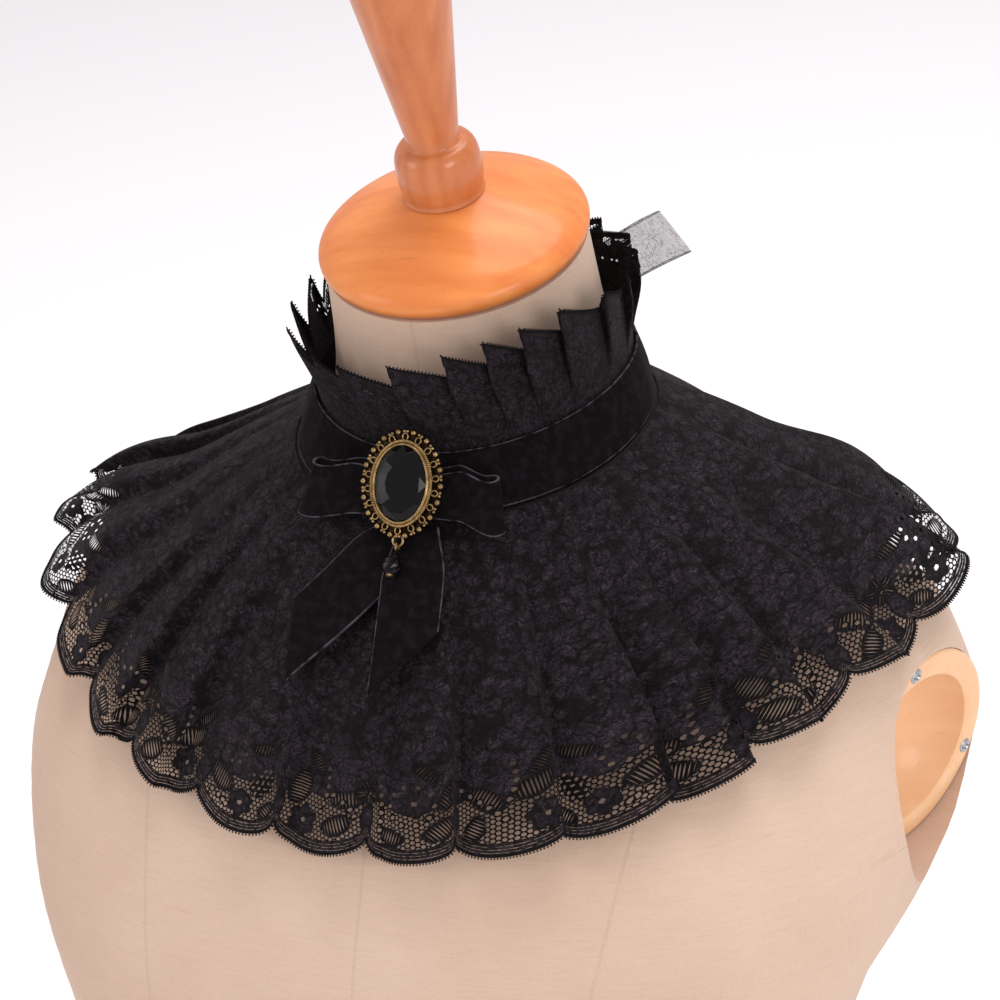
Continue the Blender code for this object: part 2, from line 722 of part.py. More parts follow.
def make_brooch(brass, stone, group, cutters):
    """The cast setting with its lobed border and bezel, and the faceted stone in it."""
    frame = brooch_frame()
    rings = [oval_ring(outset, height, lobes) for outset, height, lobes in BROOCH_RINGS]
    setting = link_object("brooch_setting", loft_mesh("brooch_setting", rings), brass, group,
                          frame)
    lug_centre = Vector((0.0, -STONE_HALF[1] - BROOCH_RINGS[-3][0] - LUG_RADIUS + LUG_WIRE,
                         BROOCH_RINGS[-3][1] / 2))
    bm = bmesh.new()
    ring_into(bm, LUG_RADIUS, LUG_WIRE, Matrix.Translation(lug_centre))
    lug = link_object("brooch_lug", mesh_from(bm, "brooch_lug"), brass, cutters, frame)
    hide_cutter(lug)
    combine(setting, lug, "UNION")
    rings = []
    for share, height in STONE_RINGS:
        rings.append([Vector((STONE_HALF[0] * share * cos((i + 0.5) * tau / STONE_SIDES),
                              STONE_HALF[1] * share * sin((i + 0.5) * tau / STONE_SIDES),
                              height)) for i in range(STONE_SIDES)])
    link_object("brooch_stone", loft_mesh("brooch_stone", rings), stone, group, frame)
    return frame @ lug_centre


def ring_into(bm, radius, wire, frame, sides=16, wire_sides=6):
    """Add a round wire ring in the local XY plane of a frame."""
    grid = []
    for i in range(sides):
        turn = i * tau / sides
        grid.append([bm.verts.new(frame @ Vector((
            (radius + wire * cos(j * tau / wire_sides)) * cos(turn),
            (radius + wire * cos(j * tau / wire_sides)) * sin(turn),
            wire * sin(j * tau / wire_sides)))) for j in range(wire_sides)])
    for i in range(sides):
        after = grid[(i + 1) % sides]
        for j in range(wire_sides):
            k = (j + 1) % wire_sides
            bm.faces.new((grid[i][j], after[j], after[k], grid[i][k]))
    bmesh.ops.recalc_face_normals(bm, faces=bm.faces)


def make_drop(lug_centre, brass, bead_material, group):
    """The swinging drop: a wire link through the lug and a small bead under it."""
    down = Vector((0.0, -sin(BOW_LEAN), -cos(BOW_LEAN)))
    pivot = lug_centre + down * LUG_RADIUS
    hinge = bpy.data.objects.new("drop_hinge", None)
    group.objects.link(hinge)
    hinge.matrix_world = Matrix.Translation(pivot) @ Matrix.Rotation(pi / 2 - DROP_SLOPE, 4, "X")
    bpy.context.view_layer.update()
    hang = LINK_RADIUS - LINK_WIRE - LUG_WIRE - SEAM_GAP
    centre = Matrix.Translation((0.0, -hang, 0.0)) @ Matrix.Rotation(pi / 2, 4, "Y")
    bm = bmesh.new()
    ring_into(bm, LINK_RADIUS, LINK_WIRE, centre)
    link = link_object("drop_link", mesh_from(bm, "drop_link"), brass, group)
    link.parent = hinge
    top = hang + LINK_RADIUS + LINK_WIRE + SEAM_GAP
    rings = []
    for share, fat in DROP_RINGS:
        turns = [i * tau / DROP_SIDES for i in range(DROP_SIDES)]
        rings.append([Vector((DROP_RADIUS * fat * cos(turn), -top - DROP_LENGTH * share,
                              DROP_RADIUS * fat * sin(turn))) for turn in turns])
    bead = link_object("drop_bead", loft_mesh("drop_bead", rings), bead_material, group)
    bead.parent = hinge


def make_tie(material, group):
    """The sheer ribbon tied in a bow over the back opening."""
    foot = VELVET_WALL + SEAM_GAP
    rise = BAND_WIDTH * TIE_RISE
    size = Vector((TIE_KNOT.x, TIE_KNOT.z, TIE_KNOT.y))
    tie_frame = front_frame(pi, rise, foot + TIE_KNOT.y / 2, TIE_LEAN)
    rounded_block("tie_knot", size, tie_frame, material, group)
    root = TIE_KNOT.x / 2 + SEAM_GAP * 3
    round_neck = float(band_radius(pi, rise)) + foot
    for name, side, reach, lift_end, depth, slant in TIE_LOOPS:
        rows = []
        for width in (-0.5, 0.0, 0.5):
            row = []
            for along, off in loop_path(reach + slant * width, depth, root):
                share = (along - root) / (reach - root)
                angle = pi - side * (root + (along - root) * LOOP_WRAP) / round_neck
                spread = LOOP_PINCH + (1.0 - LOOP_PINCH) * float(smooth_step(share * 2.2))
                up = rise + width * TIE_WIDTH * spread + lift_end * share
                opened = TIE_SPREAD + (1.0 - TIE_SPREAD) * float(smooth_step(share * 2.0))
                away = foot + TIE_LIFT + off * opened
                point = band_point(angle, rise, away + LOOP_STAND * (along - root))
                point.z += up - rise
                row.append(point)
            rows.append(row)
        part = link_object(name, sheet_mesh(name, rows, flip=side > 0.0), material, group)
        add_wall(part, ORGANZA_WALL, -1.0)
    for name, length, turn in TIE_TAILS:
        make_tie_tail(name, length, turn, material, group)


def make_tie_tail(name, length, turn, material, group):
    """A sheer ribbon end that hangs from the knot over the flounce at the back."""
    side = 1.0 if turn < 0.0 else -1.0
    rows = []
    for i in range(TAIL_STEPS + 1):
        row = []
        for across in (-0.5, 0.0, 0.5):
            along = TIE_TAIL_START + (length - TIE_TAIL_START) * i / TAIL_STEPS
            sideways = across * TIE_WIDTH
            start = side * (TIE_WIDTH / 2 + TIE_TAIL_APART)
            left = start - along * sin(turn) + sideways * cos(turn)
            down = along * cos(turn) + sideways * sin(turn) + TIE_TAIL_DROP
            angle = pi - left / drape_read(DRAPE_RADII, pi, down)
            angle = (angle + pi) % tau - pi
            lift = over_pleats(down) + TIE_TAIL_LIFT
            row.append(drape_point(angle, down, lift))
        rows.append(row)
    part = link_object(name, sheet_mesh(name, rows, flip=True), material, group)
    return add_wall(part, ORGANZA_WALL, 1.0)


def main():
    clear_scene()
    group = make_collection("lace_collar_on_form")
    cutters = make_collection("cutters")
    linen = make_material("linen", (0.66, 0.53, 0.42), 0.85)
    varnished = make_material("varnished_wood", (0.55, 0.17, 0.03), 0.22)
    pale_wood = make_material("pale_wood", (0.68, 0.36, 0.13), 0.35)
    lace = make_material("black_lace", (0.008, 0.008, 0.010), 0.75)
    plain = make_material("black_underlayer", (0.006, 0.006, 0.008), 0.85)
    velvet = make_material("black_velvet", (0.004, 0.004, 0.005), 0.95)
    organza = make_material("grey_organza", (0.06, 0.05, 0.065), 0.40)
    brass = make_material("antique_brass", (0.32, 0.20, 0.07), 0.38, metallic=1.0)
    glass = make_material("black_stone", (0.004, 0.004, 0.005), 0.06)

    torso = make_torso(linen, group)
    make_sockets(torso, pale_wood, group, cutters)
    turned_part("neck_cap", CAP_PROFILE, varnished, group, neck_frame())
    turned_part("finial", FINIAL_PROFILE, varnished, group, neck_frame())
    make_underlayer(plain, group)
    make_flounce(lace, group)
    make_frill(lace, group)
    make_band(velvet, group)
    make_bow_loop("bow_loop_left", 1.0, velvet, group)
    make_bow_loop("bow_loop_right", -1.0, velvet, group)
    make_knot(velvet, group)
    for name, length, turn, start, extra, slant in TAILS:
        make_tail(name, length, turn, start, extra, slant, velvet, group)
    lug_centre = make_brooch(brass, glass, group, cutters)
    make_drop(lug_centre, brass, glass, group)
    make_tie(organza, group)


main()
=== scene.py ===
from math import asin, copysign, cos, pi, radians, sin, sqrt, tan, tau

import bmesh
import bpy
import numpy as np
from mathutils import Matrix, Vector


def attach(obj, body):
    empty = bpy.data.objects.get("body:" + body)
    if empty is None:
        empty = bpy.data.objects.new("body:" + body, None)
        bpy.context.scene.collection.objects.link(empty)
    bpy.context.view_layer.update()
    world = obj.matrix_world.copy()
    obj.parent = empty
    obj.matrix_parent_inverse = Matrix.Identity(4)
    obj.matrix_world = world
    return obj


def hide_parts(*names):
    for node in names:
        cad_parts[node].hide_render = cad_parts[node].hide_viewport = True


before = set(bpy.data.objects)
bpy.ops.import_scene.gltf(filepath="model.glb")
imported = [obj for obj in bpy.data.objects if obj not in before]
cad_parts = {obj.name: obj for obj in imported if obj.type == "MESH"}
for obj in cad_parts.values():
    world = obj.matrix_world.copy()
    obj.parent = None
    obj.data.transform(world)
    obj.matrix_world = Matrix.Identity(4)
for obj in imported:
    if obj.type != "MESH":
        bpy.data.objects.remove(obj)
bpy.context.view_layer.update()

rootBody = "form_and_collar"
dropBody = "drop"
clearGap = 0.0003      # metres between pieces that lie on each other, as in the solids


capCentre = Vector((0.0, 0.0, 0.520))
camera = {
    "azimuth": 23.5,      # degrees to the form's left of straight ahead
    "elevation": 25.8,
    "roll": 6.4,
    "distance": 1.157,    # metres from the neck cap
    "lens": 108.0,        # mm on a 36 mm sensor
    "across": 0.018,      # metres to the picture's right, and up
    "up": -0.1037,
}


def makeCamera():
    turn, rise, roll = (radians(camera[key]) for key in ("azimuth", "elevation", "roll"))
    back = Vector((sin(turn) * cos(rise), -cos(turn) * cos(rise), sin(rise)))
    level = Vector((cos(turn), sin(turn), 0.0))
    upright = back.cross(level)
    right = cos(roll) * level - sin(roll) * upright
    up = sin(roll) * level + cos(roll) * upright
    data = bpy.data.cameras.new("photoCamera")
    data.lens = camera["lens"]
    data.sensor_width = 36.0
    data.clip_start, data.clip_end = 0.05, 30.0
    made = bpy.data.objects.new("photoCamera", data)
    bpy.context.scene.collection.objects.link(made)
    place = capCentre + back * camera["distance"] + right * camera["across"] + up * camera["up"]
    made.matrix_world = Matrix.Translation(place) @ Matrix((right, up, back)).transposed().to_4x4()
    bpy.context.scene.camera = made


makeCamera()
print("stage: camera")


# sRGB hex to linear RGBA
def linear(hexColour):
    parts = [int(hexColour[i:i + 2], 16) / 255 for i in (1, 3, 5)]
    return tuple(c / 12.92 if c <= 0.04045 else ((c + 0.055) / 1.055) ** 2.4
                 for c in parts) + (1.0,)


# Links or sets a node's inputs, given in order or by name or number. A node stands for its first
# output in use, and a hex colour is turned to linear. 6 and 7 are a colour mix's two colours.
def setInputs(tree, node, inputs):
    for key, value in inputs.items() if isinstance(inputs, dict) else enumerate(inputs):
        if isinstance(value, bpy.types.Node):
            value = next(output for output in value.outputs if output.enabled)
        elif isinstance(value, str) and value.startswith("#"):
            value = linear(value)
        if isinstance(value, bpy.types.NodeSocket):
            tree.links.new(value, node.inputs[key])
        else:
            node.inputs[key].default_value = value


# Adds a node, a shader's where its kind is short; settings are its properties
def addNode(tree, kind, inputs=(), **settings):
    made = tree.nodes.new(kind if "Node" in kind else "ShaderNode" + kind)
    for name, value in settings.items():
        setattr(made, name, value)
    setInputs(tree, made, inputs)
    return made


def newMaterial(name):
    material = bpy.data.materials.new(name)
    material.use_nodes = True
    return material, material.node_tree, material.node_tree.nodes["Principled BSDF"]


def smoothStep(value):
    value = np.clip(value, 0.0, 1.0)
    return value * value * (3.0 - 2.0 * value)


def linkMesh(name, mesh, material=None):
    made = bpy.data.objects.new(name, mesh)
    bpy.context.scene.collection.objects.link(made)
    if material is not None:
        mesh.materials.append(material)
    return made


# A sheet through rows of points; uv in metres of cloth, fields as point attributes
def gridMesh(name, points, uv=None, fields=None, flip=False):
    rows, cols = points.shape[:2]
    index = np.arange(rows * cols).reshape(rows, cols)
    quad = [index[:-1, :-1], index[:-1, 1:], index[1:, 1:], index[1:, :-1]]
    corners = np.stack(quad[::-1] if flip else quad, axis=-1).reshape(-1)
    mesh = bpy.data.meshes.new(name)
    mesh.vertices.add(rows * cols)
    mesh.vertices.foreach_set("co", points.reshape(-1).astype(np.float32))
    mesh.loops.add(len(corners))
    mesh.loops.foreach_set("vertex_index", corners)
    mesh.polygons.add(len(corners) // 4)
    mesh.polygons.foreach_set("loop_start", np.arange(0, len(corners), 4))
    mesh.update(calc_edges=True)
    mesh.validate()
    if uv is not None:
        layer = mesh.uv_layers.new(name="cloth")
        layer.data.foreach_set("uv", uv.reshape(-1, 2)[corners].reshape(-1).astype(np.float32))
    for label, values in (fields or {}).items():
        mesh.attributes.new(label, "FLOAT", "POINT").data.foreach_set(
            "value", values.reshape(-1).astype(np.float32))
    mesh.shade_smooth()
    return mesh


def meshFrom(bm, name):
    mesh = bpy.data.meshes.new(name)
    bm.to_mesh(mesh)
    bm.free()
    return mesh


# A closed solid through closed rings of points, with a fan at each end
def ringMesh(name, rings):
    bm = bmesh.new()
    grid = [[bm.verts.new(p) for p in ring] for ring in rings]
    count = len(grid[0])
    for low, high in zip(grid[:-1], grid[1:]):
        for i in range(count):
            bm.faces.new((low[i], low[(i + 1) % count], high[(i + 1) % count], high[i]))
    for ring in (grid[0], grid[-1]):
        middle = bm.verts.new(sum((v.co for v in ring), Vector()) / count)
        for i in range(count):
            bm.faces.new((ring[i], ring[(i + 1) % count], middle))
    bmesh.ops.recalc_face_normals(bm, faces=bm.faces)
    return meshFrom(bm, name)


# Points round an ellipse; start is a share of the step between two of them
def ellipse(a, b, height, count, start=0.0):
    turns = (np.arange(count) + start) * tau / count
    return [Vector((a * cos(t), b * sin(t), height)) for t in turns]


# A turned solid from rows of height and radius, listed from one end to the other
def turnedMesh(name, profile, steps, place):
    mesh = ringMesh(name, [[place @ point for point in ellipse(radius, radius, height, steps)]
                           for height, radius in profile])
    mesh.shade_smooth()
    mesh.set_sharp_from_angle(angle=radians(38))
    return mesh


# A frame at a place with one axis along a direction
def facing(place, direction, axis="Z"):
    return Matrix.Translation(place) @ direction.to_track_quat(axis, "Y").to_matrix().to_4x4()


# Gives an open sheet its thickness and bakes it
def giveWall(piece, thickness, side):
    wall = piece.modifiers.new("wall", "SOLIDIFY")
    wall.thickness, wall.offset, wall.use_even_offset = thickness, side, True
    return bakePiece(piece)


# Turns the evaluated piece into a plain mesh
def bakePiece(piece):
    graph = bpy.context.evaluated_depsgraph_get()
    graph.update()
    baked = bpy.data.meshes.new_from_object(piece.evaluated_get(graph), depsgraph=graph)
    piece.modifiers.clear()
    piece.data = baked
    return piece


# Ends a tree: real geometry in place of instances, and its material
def finishTree(tree, geometry, ins):
    whole = addNode(tree, "GeometryNodeRealizeInstances", (geometry,))
    return addNode(tree, "GeometryNodeSetMaterial", {0: whole, "Material": ins["material"]})


# Runs a Geometry Nodes tree on a piece and bakes it; the values are the tree's named inputs
def nodeModifier(name, build, piece, **values):
    kinds = {int: "Int", float: "Float", bpy.types.Object: "Object", bpy.types.Material: "Material"}
    tree = bpy.data.node_groups.new(name, "GeometryNodeTree")
    tree.interface.new_socket("Geometry", in_out="INPUT", socket_type="NodeSocketGeometry")
    sockets = {}
    for label, value in values.items():
        socket = tree.interface.new_socket(label, in_out="INPUT",
                                           socket_type="NodeSocket" + kinds[type(value)])
        sockets[socket.identifier] = value
    tree.interface.new_socket("Geometry", in_out="OUTPUT", socket_type="NodeSocketGeometry")
    start, end = tree.nodes.new("NodeGroupInput"), tree.nodes.new("NodeGroupOutput")
    tree.links.new(build(tree, start.outputs).outputs[0], end.inputs[0])
    modifier = piece.modifiers.new(name, "NODES")
    modifier.node_group = tree
    for identifier, value in sockets.items():
        modifier[identifier] = value
    bakePiece(piece)
    bpy.data.node_groups.remove(tree)
    return piece


form = {
    "sections": np.array([   # height, half width, front depth, back depth, centre line's y
        (0.000, 0.144, 0.120, 0.098, -0.0020), (0.060, 0.122, 0.114, 0.090, -0.0050),
        (0.120, 0.120, 0.126, 0.090, -0.0100), (0.180, 0.142, 0.160, 0.094, -0.0140),
        (0.240, 0.166, 0.176, 0.100, -0.0110), (0.280, 0.188, 0.169, 0.103, -0.0060),
        (0.320, 0.198, 0.153, 0.102, 0.0000), (0.360, 0.188, 0.129, 0.092, 0.0030),
        (0.390, 0.157, 0.105, 0.078, 0.0050), (0.410, 0.121, 0.088, 0.068, 0.0060),
        (0.430, 0.080, 0.072, 0.062, 0.0080), (0.450, 0.060, 0.060, 0.058, 0.0090),
        (0.470, 0.055, 0.055, 0.055, 0.0080), (0.490, 0.053, 0.0525, 0.0525, 0.0055),
        (0.516, 0.0515, 0.0515, 0.0515, 0.0000)]),
    "frontSquareness": 1.2,
    "backSquareness": 0.1,
    "roundHeight": 0.36,
    "squareFade": 0.12,
    "neckLean": radians(12.5),
    "neckRadius": 0.0515,
    "neckBelowCap": 0.0063,
    "columns": 144,
    "edge": 0.004,         # of the base, rounded
}
neckFrame = Matrix.Translation(capCentre) @ Matrix.Rotation(form["neckLean"], 4, "X")


# One column of the sections, smooth and without overshoot between its rows
def readSection(column, height):
    heights, values = form["sections"][:, 0], form["sections"][:, column]
    slopes = np.diff(values) / np.diff(heights)
    rates = np.zeros(len(values))
    for i in range(1, len(values) - 1):
        if slopes[i - 1] * slopes[i] > 0.0:
            rates[i] = 2.0 * slopes[i - 1] * slopes[i] / (slopes[i - 1] + slopes[i])
    height = np.clip(height, heights[0], heights[-1])
    i = np.clip(np.searchsorted(heights, height) - 1, 0, len(values) - 2)
    span = heights[i + 1] - heights[i]
    t = (height - heights[i]) / span
    low = values[i] * (1 + 2 * t) * (1 - t) ** 2 + rates[i] * span * t * (1 - t) ** 2
    return low + values[i + 1] * t * t * (3 - 2 * t) - rates[i + 1] * span * t * t * (1 - t)


def formRadius(angle, height):
    ahead = np.cos(angle) > 0.0
    depth = np.where(ahead, readSection(2, height), readSection(3, height))
    square = np.where(ahead, form["frontSquareness"], form["backSquareness"])
    power = 2.0 + square * np.clip((form["roundHeight"] - height) / form["squareFade"], 0.0, 1.0)
    wide = np.abs(np.sin(angle) / readSection(1, height)) ** power
    return (wide + np.abs(np.cos(angle) / depth) ** power) ** (-1.0 / power)


def formPoint(angle, radius, height):
    return np.stack(np.broadcast_arrays(
        radius * np.sin(angle), readSection(4, height) - radius * np.cos(angle), height), axis=-1)


seam = {
    "frontHeight": 0.4320,
    "backRise": 0.0130,
    "sideRise": 0.0050,
    "bandWidth": 0.0210,
    "lowGap": 0.0055,
    "highGap": 0.0075,
    "backOpening": radians(3.0),
}
drape = {
    "frontLength": 0.1280,
    "sideLength": 0.1390,
    "backLength": 0.1380,
    "clearance": 0.0059,
    "frontSlope": radians(44.0),
    "sideSlope": radians(23.0),
    "frontBend": 1.0 / 0.14,
    "sideBend": 1.0 / 0.32,
    "steepest": radians(86.0),
    "step": 0.0025,        # metres between the rows of the tables
    "settle": 8,           # steps from the band's height over the form to the clearance
    "extraRows": 8,
    "ease": 0.01,          # radians less steep at a time, until the lace clears the form
    "tries": 160,
    "angles": 120,
}


def seamHeight(angle):
    back = (1.0 - np.cos(angle)) / 2.0
    return seam["frontHeight"] + seam["backRise"] * back + seam["sideRise"] * np.sin(angle) ** 2


def bandRadius(angle, rise):
    low = formRadius(angle, seamHeight(angle)) + seam["lowGap"]
    high = formRadius(angle, seamHeight(angle) + seam["bandWidth"]) + seam["highGap"]
    return low + (high - low) * rise / seam["bandWidth"]


def bandPoint(angle, rise, lift):
    return formPoint(angle, bandRadius(angle, rise) + lift, seamHeight(angle) + rise)


# Profiles of the stiff lace over the shoulders: it bends as far as the form lets it
def traceDrape():
    angles = np.arange(drape["angles"] + 1) * tau / drape["angles"] - pi
    side = np.sin(angles) ** 2
    slope = drape["frontSlope"] + (drape["sideSlope"] - drape["frontSlope"]) * side
    bend = drape["frontBend"] + (drape["sideBend"] - drape["frontBend"]) * side
    height, radius = seamHeight(angles), bandRadius(angles, 0.0)
    startGap = radius - formRadius(angles, height)
    radii, heights = [radius], [height]
    for step in range(int(drape["sideLength"] / drape["step"]) + drape["extraRows"]):
        slope = np.minimum(slope + bend * drape["step"], drape["steepest"])
        gap = startGap + (drape["clearance"] - startGap) * min(1.0, step / drape["settle"])
        for _ in range(drape["tries"]):
            nextRadius = radius + drape["step"] * np.cos(slope)
            nextHeight = height - drape["step"] * np.sin(slope)
            inside = nextRadius < formRadius(angles, nextHeight) + gap
            if not inside.any():
                break
            slope = np.where(inside, slope - drape["ease"], slope)
        radius, height = nextRadius, nextHeight
        radii.append(radius)
        heights.append(height)
    tables = []
    for rows in (np.array(radii), np.array(heights)):
        ring = rows[:, :-1]
        for _ in range(3):
            ring = 0.25 * np.roll(ring, 1, 1) + 0.5 * ring + 0.25 * np.roll(ring, -1, 1)
        tables.append(np.concatenate([ring, ring[:, :1]], axis=1))
    return tables


drapeRadii, drapeHeights = traceDrape()


def readDrape(table, angle, length):
    across = np.clip((angle + pi) / tau * drape["angles"], 0.0, drape["angles"] - 1e-6)
    along = np.clip(length / drape["step"], 0.0, len(table) - 1.001)
    i, j = across.astype(int), along.astype(int)
    u, v = across - i, along - j
    return ((table[j, i] * (1 - u) + table[j, i + 1] * u) * (1 - v)
            + (table[j + 1, i] * (1 - u) + table[j + 1, i + 1] * u) * v)


# Points of the cloth, length below the seam and lift off its base
def drapePoint(angle, length, lift):
    angle, length, lift = np.broadcast_arrays(angle, length, lift)
    radius, height = readDrape(drapeRadii, angle, length), readDrape(drapeHeights, angle, length)
    reach = drape["step"] * 2.0
    run = readDrape(drapeRadii, angle, length + reach) - radius
    fall = height - readDrape(drapeHeights, angle, length + reach)
    scale = lift / np.maximum(np.hypot(run, fall), 1e-9)
    return formPoint(angle, radius + fall * scale, height + run * scale)


def flounceLength(angle):
    side = smoothStep((np.abs(angle) - radians(55.0)) / radians(38.0))
    back = smoothStep((np.abs(angle) - radians(115.0)) / radians(50.0))
    length = drape["frontLength"] + (drape["sideLength"] - drape["frontLength"]) * side
    return length + (drape["backLength"] - drape["sideLength"]) * back


def planAngle(share):
    return -pi + seam["backOpening"] + share * (tau - 2.0 * seam["backOpening"])


# A lace pattern is kept on the sheet's points, in mm: "window" is the depth inside an open
# stretch (negative in solid work), "holes" the depth inside an eyelet, "angle" the run of the
# threads, and "lines" is 1 where they are parallel and 0 where they cross as net.
lace = {
    "outline": 0.9,       # mm of solid work round a petal
    "edgeBand": 4.6,      # mm of worked edge
    "slits": (1.0, 4.3),  # mm from the edge, where fine slits run along the band
    "eyelet": 0.85,       # mm, radius
    "border": 36.0,       # mm of the regular border over the scallops
    "flowerPitch": 15.5,  # mm between strewn flowers, as are the next sizes
    "jitter": 3.0,
    "flower": (5.5, 8.5),
    "leaf": (5.4, 2.3),
    "smallLeaf": (4.6, 2.0),
    # between two scallops: height of a flower and its radius, height of a leaf and its sizes
    "between": ((24.0, 4.8), (14.6, 4.6, 2.2)),
    "ground": -0.12,      # window of the closed ground between the strewn flowers
    "solid": -1.0,        # and of solid work
    "seed": 11,
    "netTop": 21.0,       # mm above the hem, as far as the open net reaches
    "scallops": (         # what fills a scallop: kind, across, up, then its sizes in mm and turn
        (("bloom", -7.0, 11.0, 5.2), ("lines", 8.0, 11.0, 5.0, 2.8, 0.5),
         ("lines", -8.5, 22.0, 6.5, 3.6, 1.30), ("lines", 9.5, 20.5, 5.8, 2.7, 0.20),
         ("chain", 1.5, 30.0, 0.5, 14.6, 6), ("chain", 4.0, 21.0, 13.0, 15.0, 4),
         ("lines", -3.5, 31.5, 5.6, 2.4, 2.2)),
        (("lattice", 7.5, 19.0, 6.4, 4.4, 1.2), ("bloom", 1.5, 10.5, 4.2),
         ("lines", -9.5, 15.0, 5.8, 3.2, -0.5), ("lines", 12.5, 10.0, 3.6, 2.0, 0.8),
         ("ring", -5.5, 26.0, 4.3, 7), ("chain", -13.0, 9.6, -4.5, 7.4, 4),
         ("lines", 5.0, 30.5, 6.0, 2.2, 0.3)),
        (("bloom", 8.5, 12.0, 5.2), ("lines", 6.5, 22.5, 7.0, 3.2, 0.5),
         ("lines", -6.5, 20.5, 6.0, 3.0, 2.4), ("lines", -9.5, 10.8, 4.6, 2.6, 0.9),
         ("chain", -13.0, 24.5, -1.0, 12.6, 6), ("chain", 0.5, 19.0, 1.5, 31.5, 5),
         ("lines", 9.0, 31.0, 5.6, 2.2, 0.9)),
        (("bloom", 1.0, 20.0, 4.4), ("ring", 1.0, 20.0, 7.0, 10),
         ("chain", -11.5, 32.0, -10.5, 11.0, 8), ("lines", -5.5, 9.0, 4.6, 2.2, -0.3),
         ("lines", 9.5, 10.6, 5.6, 2.8, 0.6), ("lines", 12.5, 23.5, 5.4, 2.8, 1.2),
         ("lines", 4.0, 31.5, 5.0, 2.2, 2.4))),
}


def newCanvas(shape, window):
    return {"window": np.full(shape, window), "angle": np.zeros(shape),
            "lines": np.zeros(shape), "holes": np.full(shape, -4.0)}


def inEllipse(u, v, a, b):
    return (1.0 - np.sqrt((u / a) ** 2 + (v / b) ** 2)) * min(a, b)


def paint(canvas, near, hull, window, angle, lines):
    old = canvas["window"][near]
    canvas["window"][near] = np.maximum(np.minimum(old, -hull), np.where(hull > 0, window, -9.0))
    inside = hull > 0
    for key, value in (("angle", angle), ("lines", lines)):
        canvas[key][near] = np.where(inside, value, canvas[key][near])


# A flower of equal petals round an open eye
def paintFlower(canvas, dx, dy, radius, petals, turn, openPetals, base=0.0):
    near = dx * dx + dy * dy < (1.3 * radius) ** 2
    if not near.any():
        return
    x, y, outline = dx[near], dy[near], lace["outline"]
    r, step = np.hypot(x, y), tau / petals
    theta = np.arctan2(y, x) - turn
    sector = np.floor(theta / step + 0.5)
    u, v = r * np.cos(theta - sector * step), r * np.sin(theta - sector * step)
    hub = 0.30 * radius
    a = (radius - hub) / 2.0
    b = min(a * 1.05, (hub + a) * sin(pi / petals) - outline * 0.45)
    petal = inEllipse(u - hub - a, v, a, b)
    hull = np.maximum(inEllipse(u - hub - a, v, a + outline, b + outline), hub + outline - r)
    window = np.maximum(petal, 0.42 * hub - r) if openPetals else -hull
    paint(canvas, near, hull, window, turn + sector * step + base, np.where(r > hub, 1.0, 0.0))


# The part of the canvas round a long shape, in the shape's own axes, with its middle line bowed
def around(dx, dy, long, turn, bow):
    near = dx * dx + dy * dy < (1.4 * long) ** 2
    x, y = dx[near], dy[near]
    u, v = x * cos(turn) + y * sin(turn), -x * sin(turn) + y * cos(turn)
    return near, u, v + bow * u * u


# A leaf with a vein, its threads slanting away from it
def paintLeaf(canvas, dx, dy, long, wide, turn, openLeaf, base=0.0):
    near, u, v = around(dx, dy, long, turn, 0.012)
    if len(u):
        hull = inEllipse(u, v, long + lace["outline"], wide + lace["outline"])
        window = np.minimum(inEllipse(u, v, long, wide), np.abs(v) - 0.45)
        paint(canvas, near, hull, window if openLeaf else -hull,
              turn + np.where(v > 0, 0.9, -0.9) + base, np.ones(len(u)))


# One rounded opening filled with parallel threads, which run across it
def paintPatch(canvas, dx, dy, long, wide, turn, run):
    near, u, v = around(dx, dy, long, turn, -0.02)
    if len(u):
        hull = inEllipse(u, v, long + lace["outline"], wide + lace["outline"])
        paint(canvas, near, hull, inEllipse(u, v, long, wide), run, np.ones(len(u)))


def paintEyelets(canvas, dx, dy, spots, radius):
    for across, up in spots:
        near = np.abs(dx - across) < 6.0
        depth = radius - np.hypot(dx[near] - across, dy[near] - up)
        canvas["holes"][near] = np.maximum(canvas["holes"][near], depth)


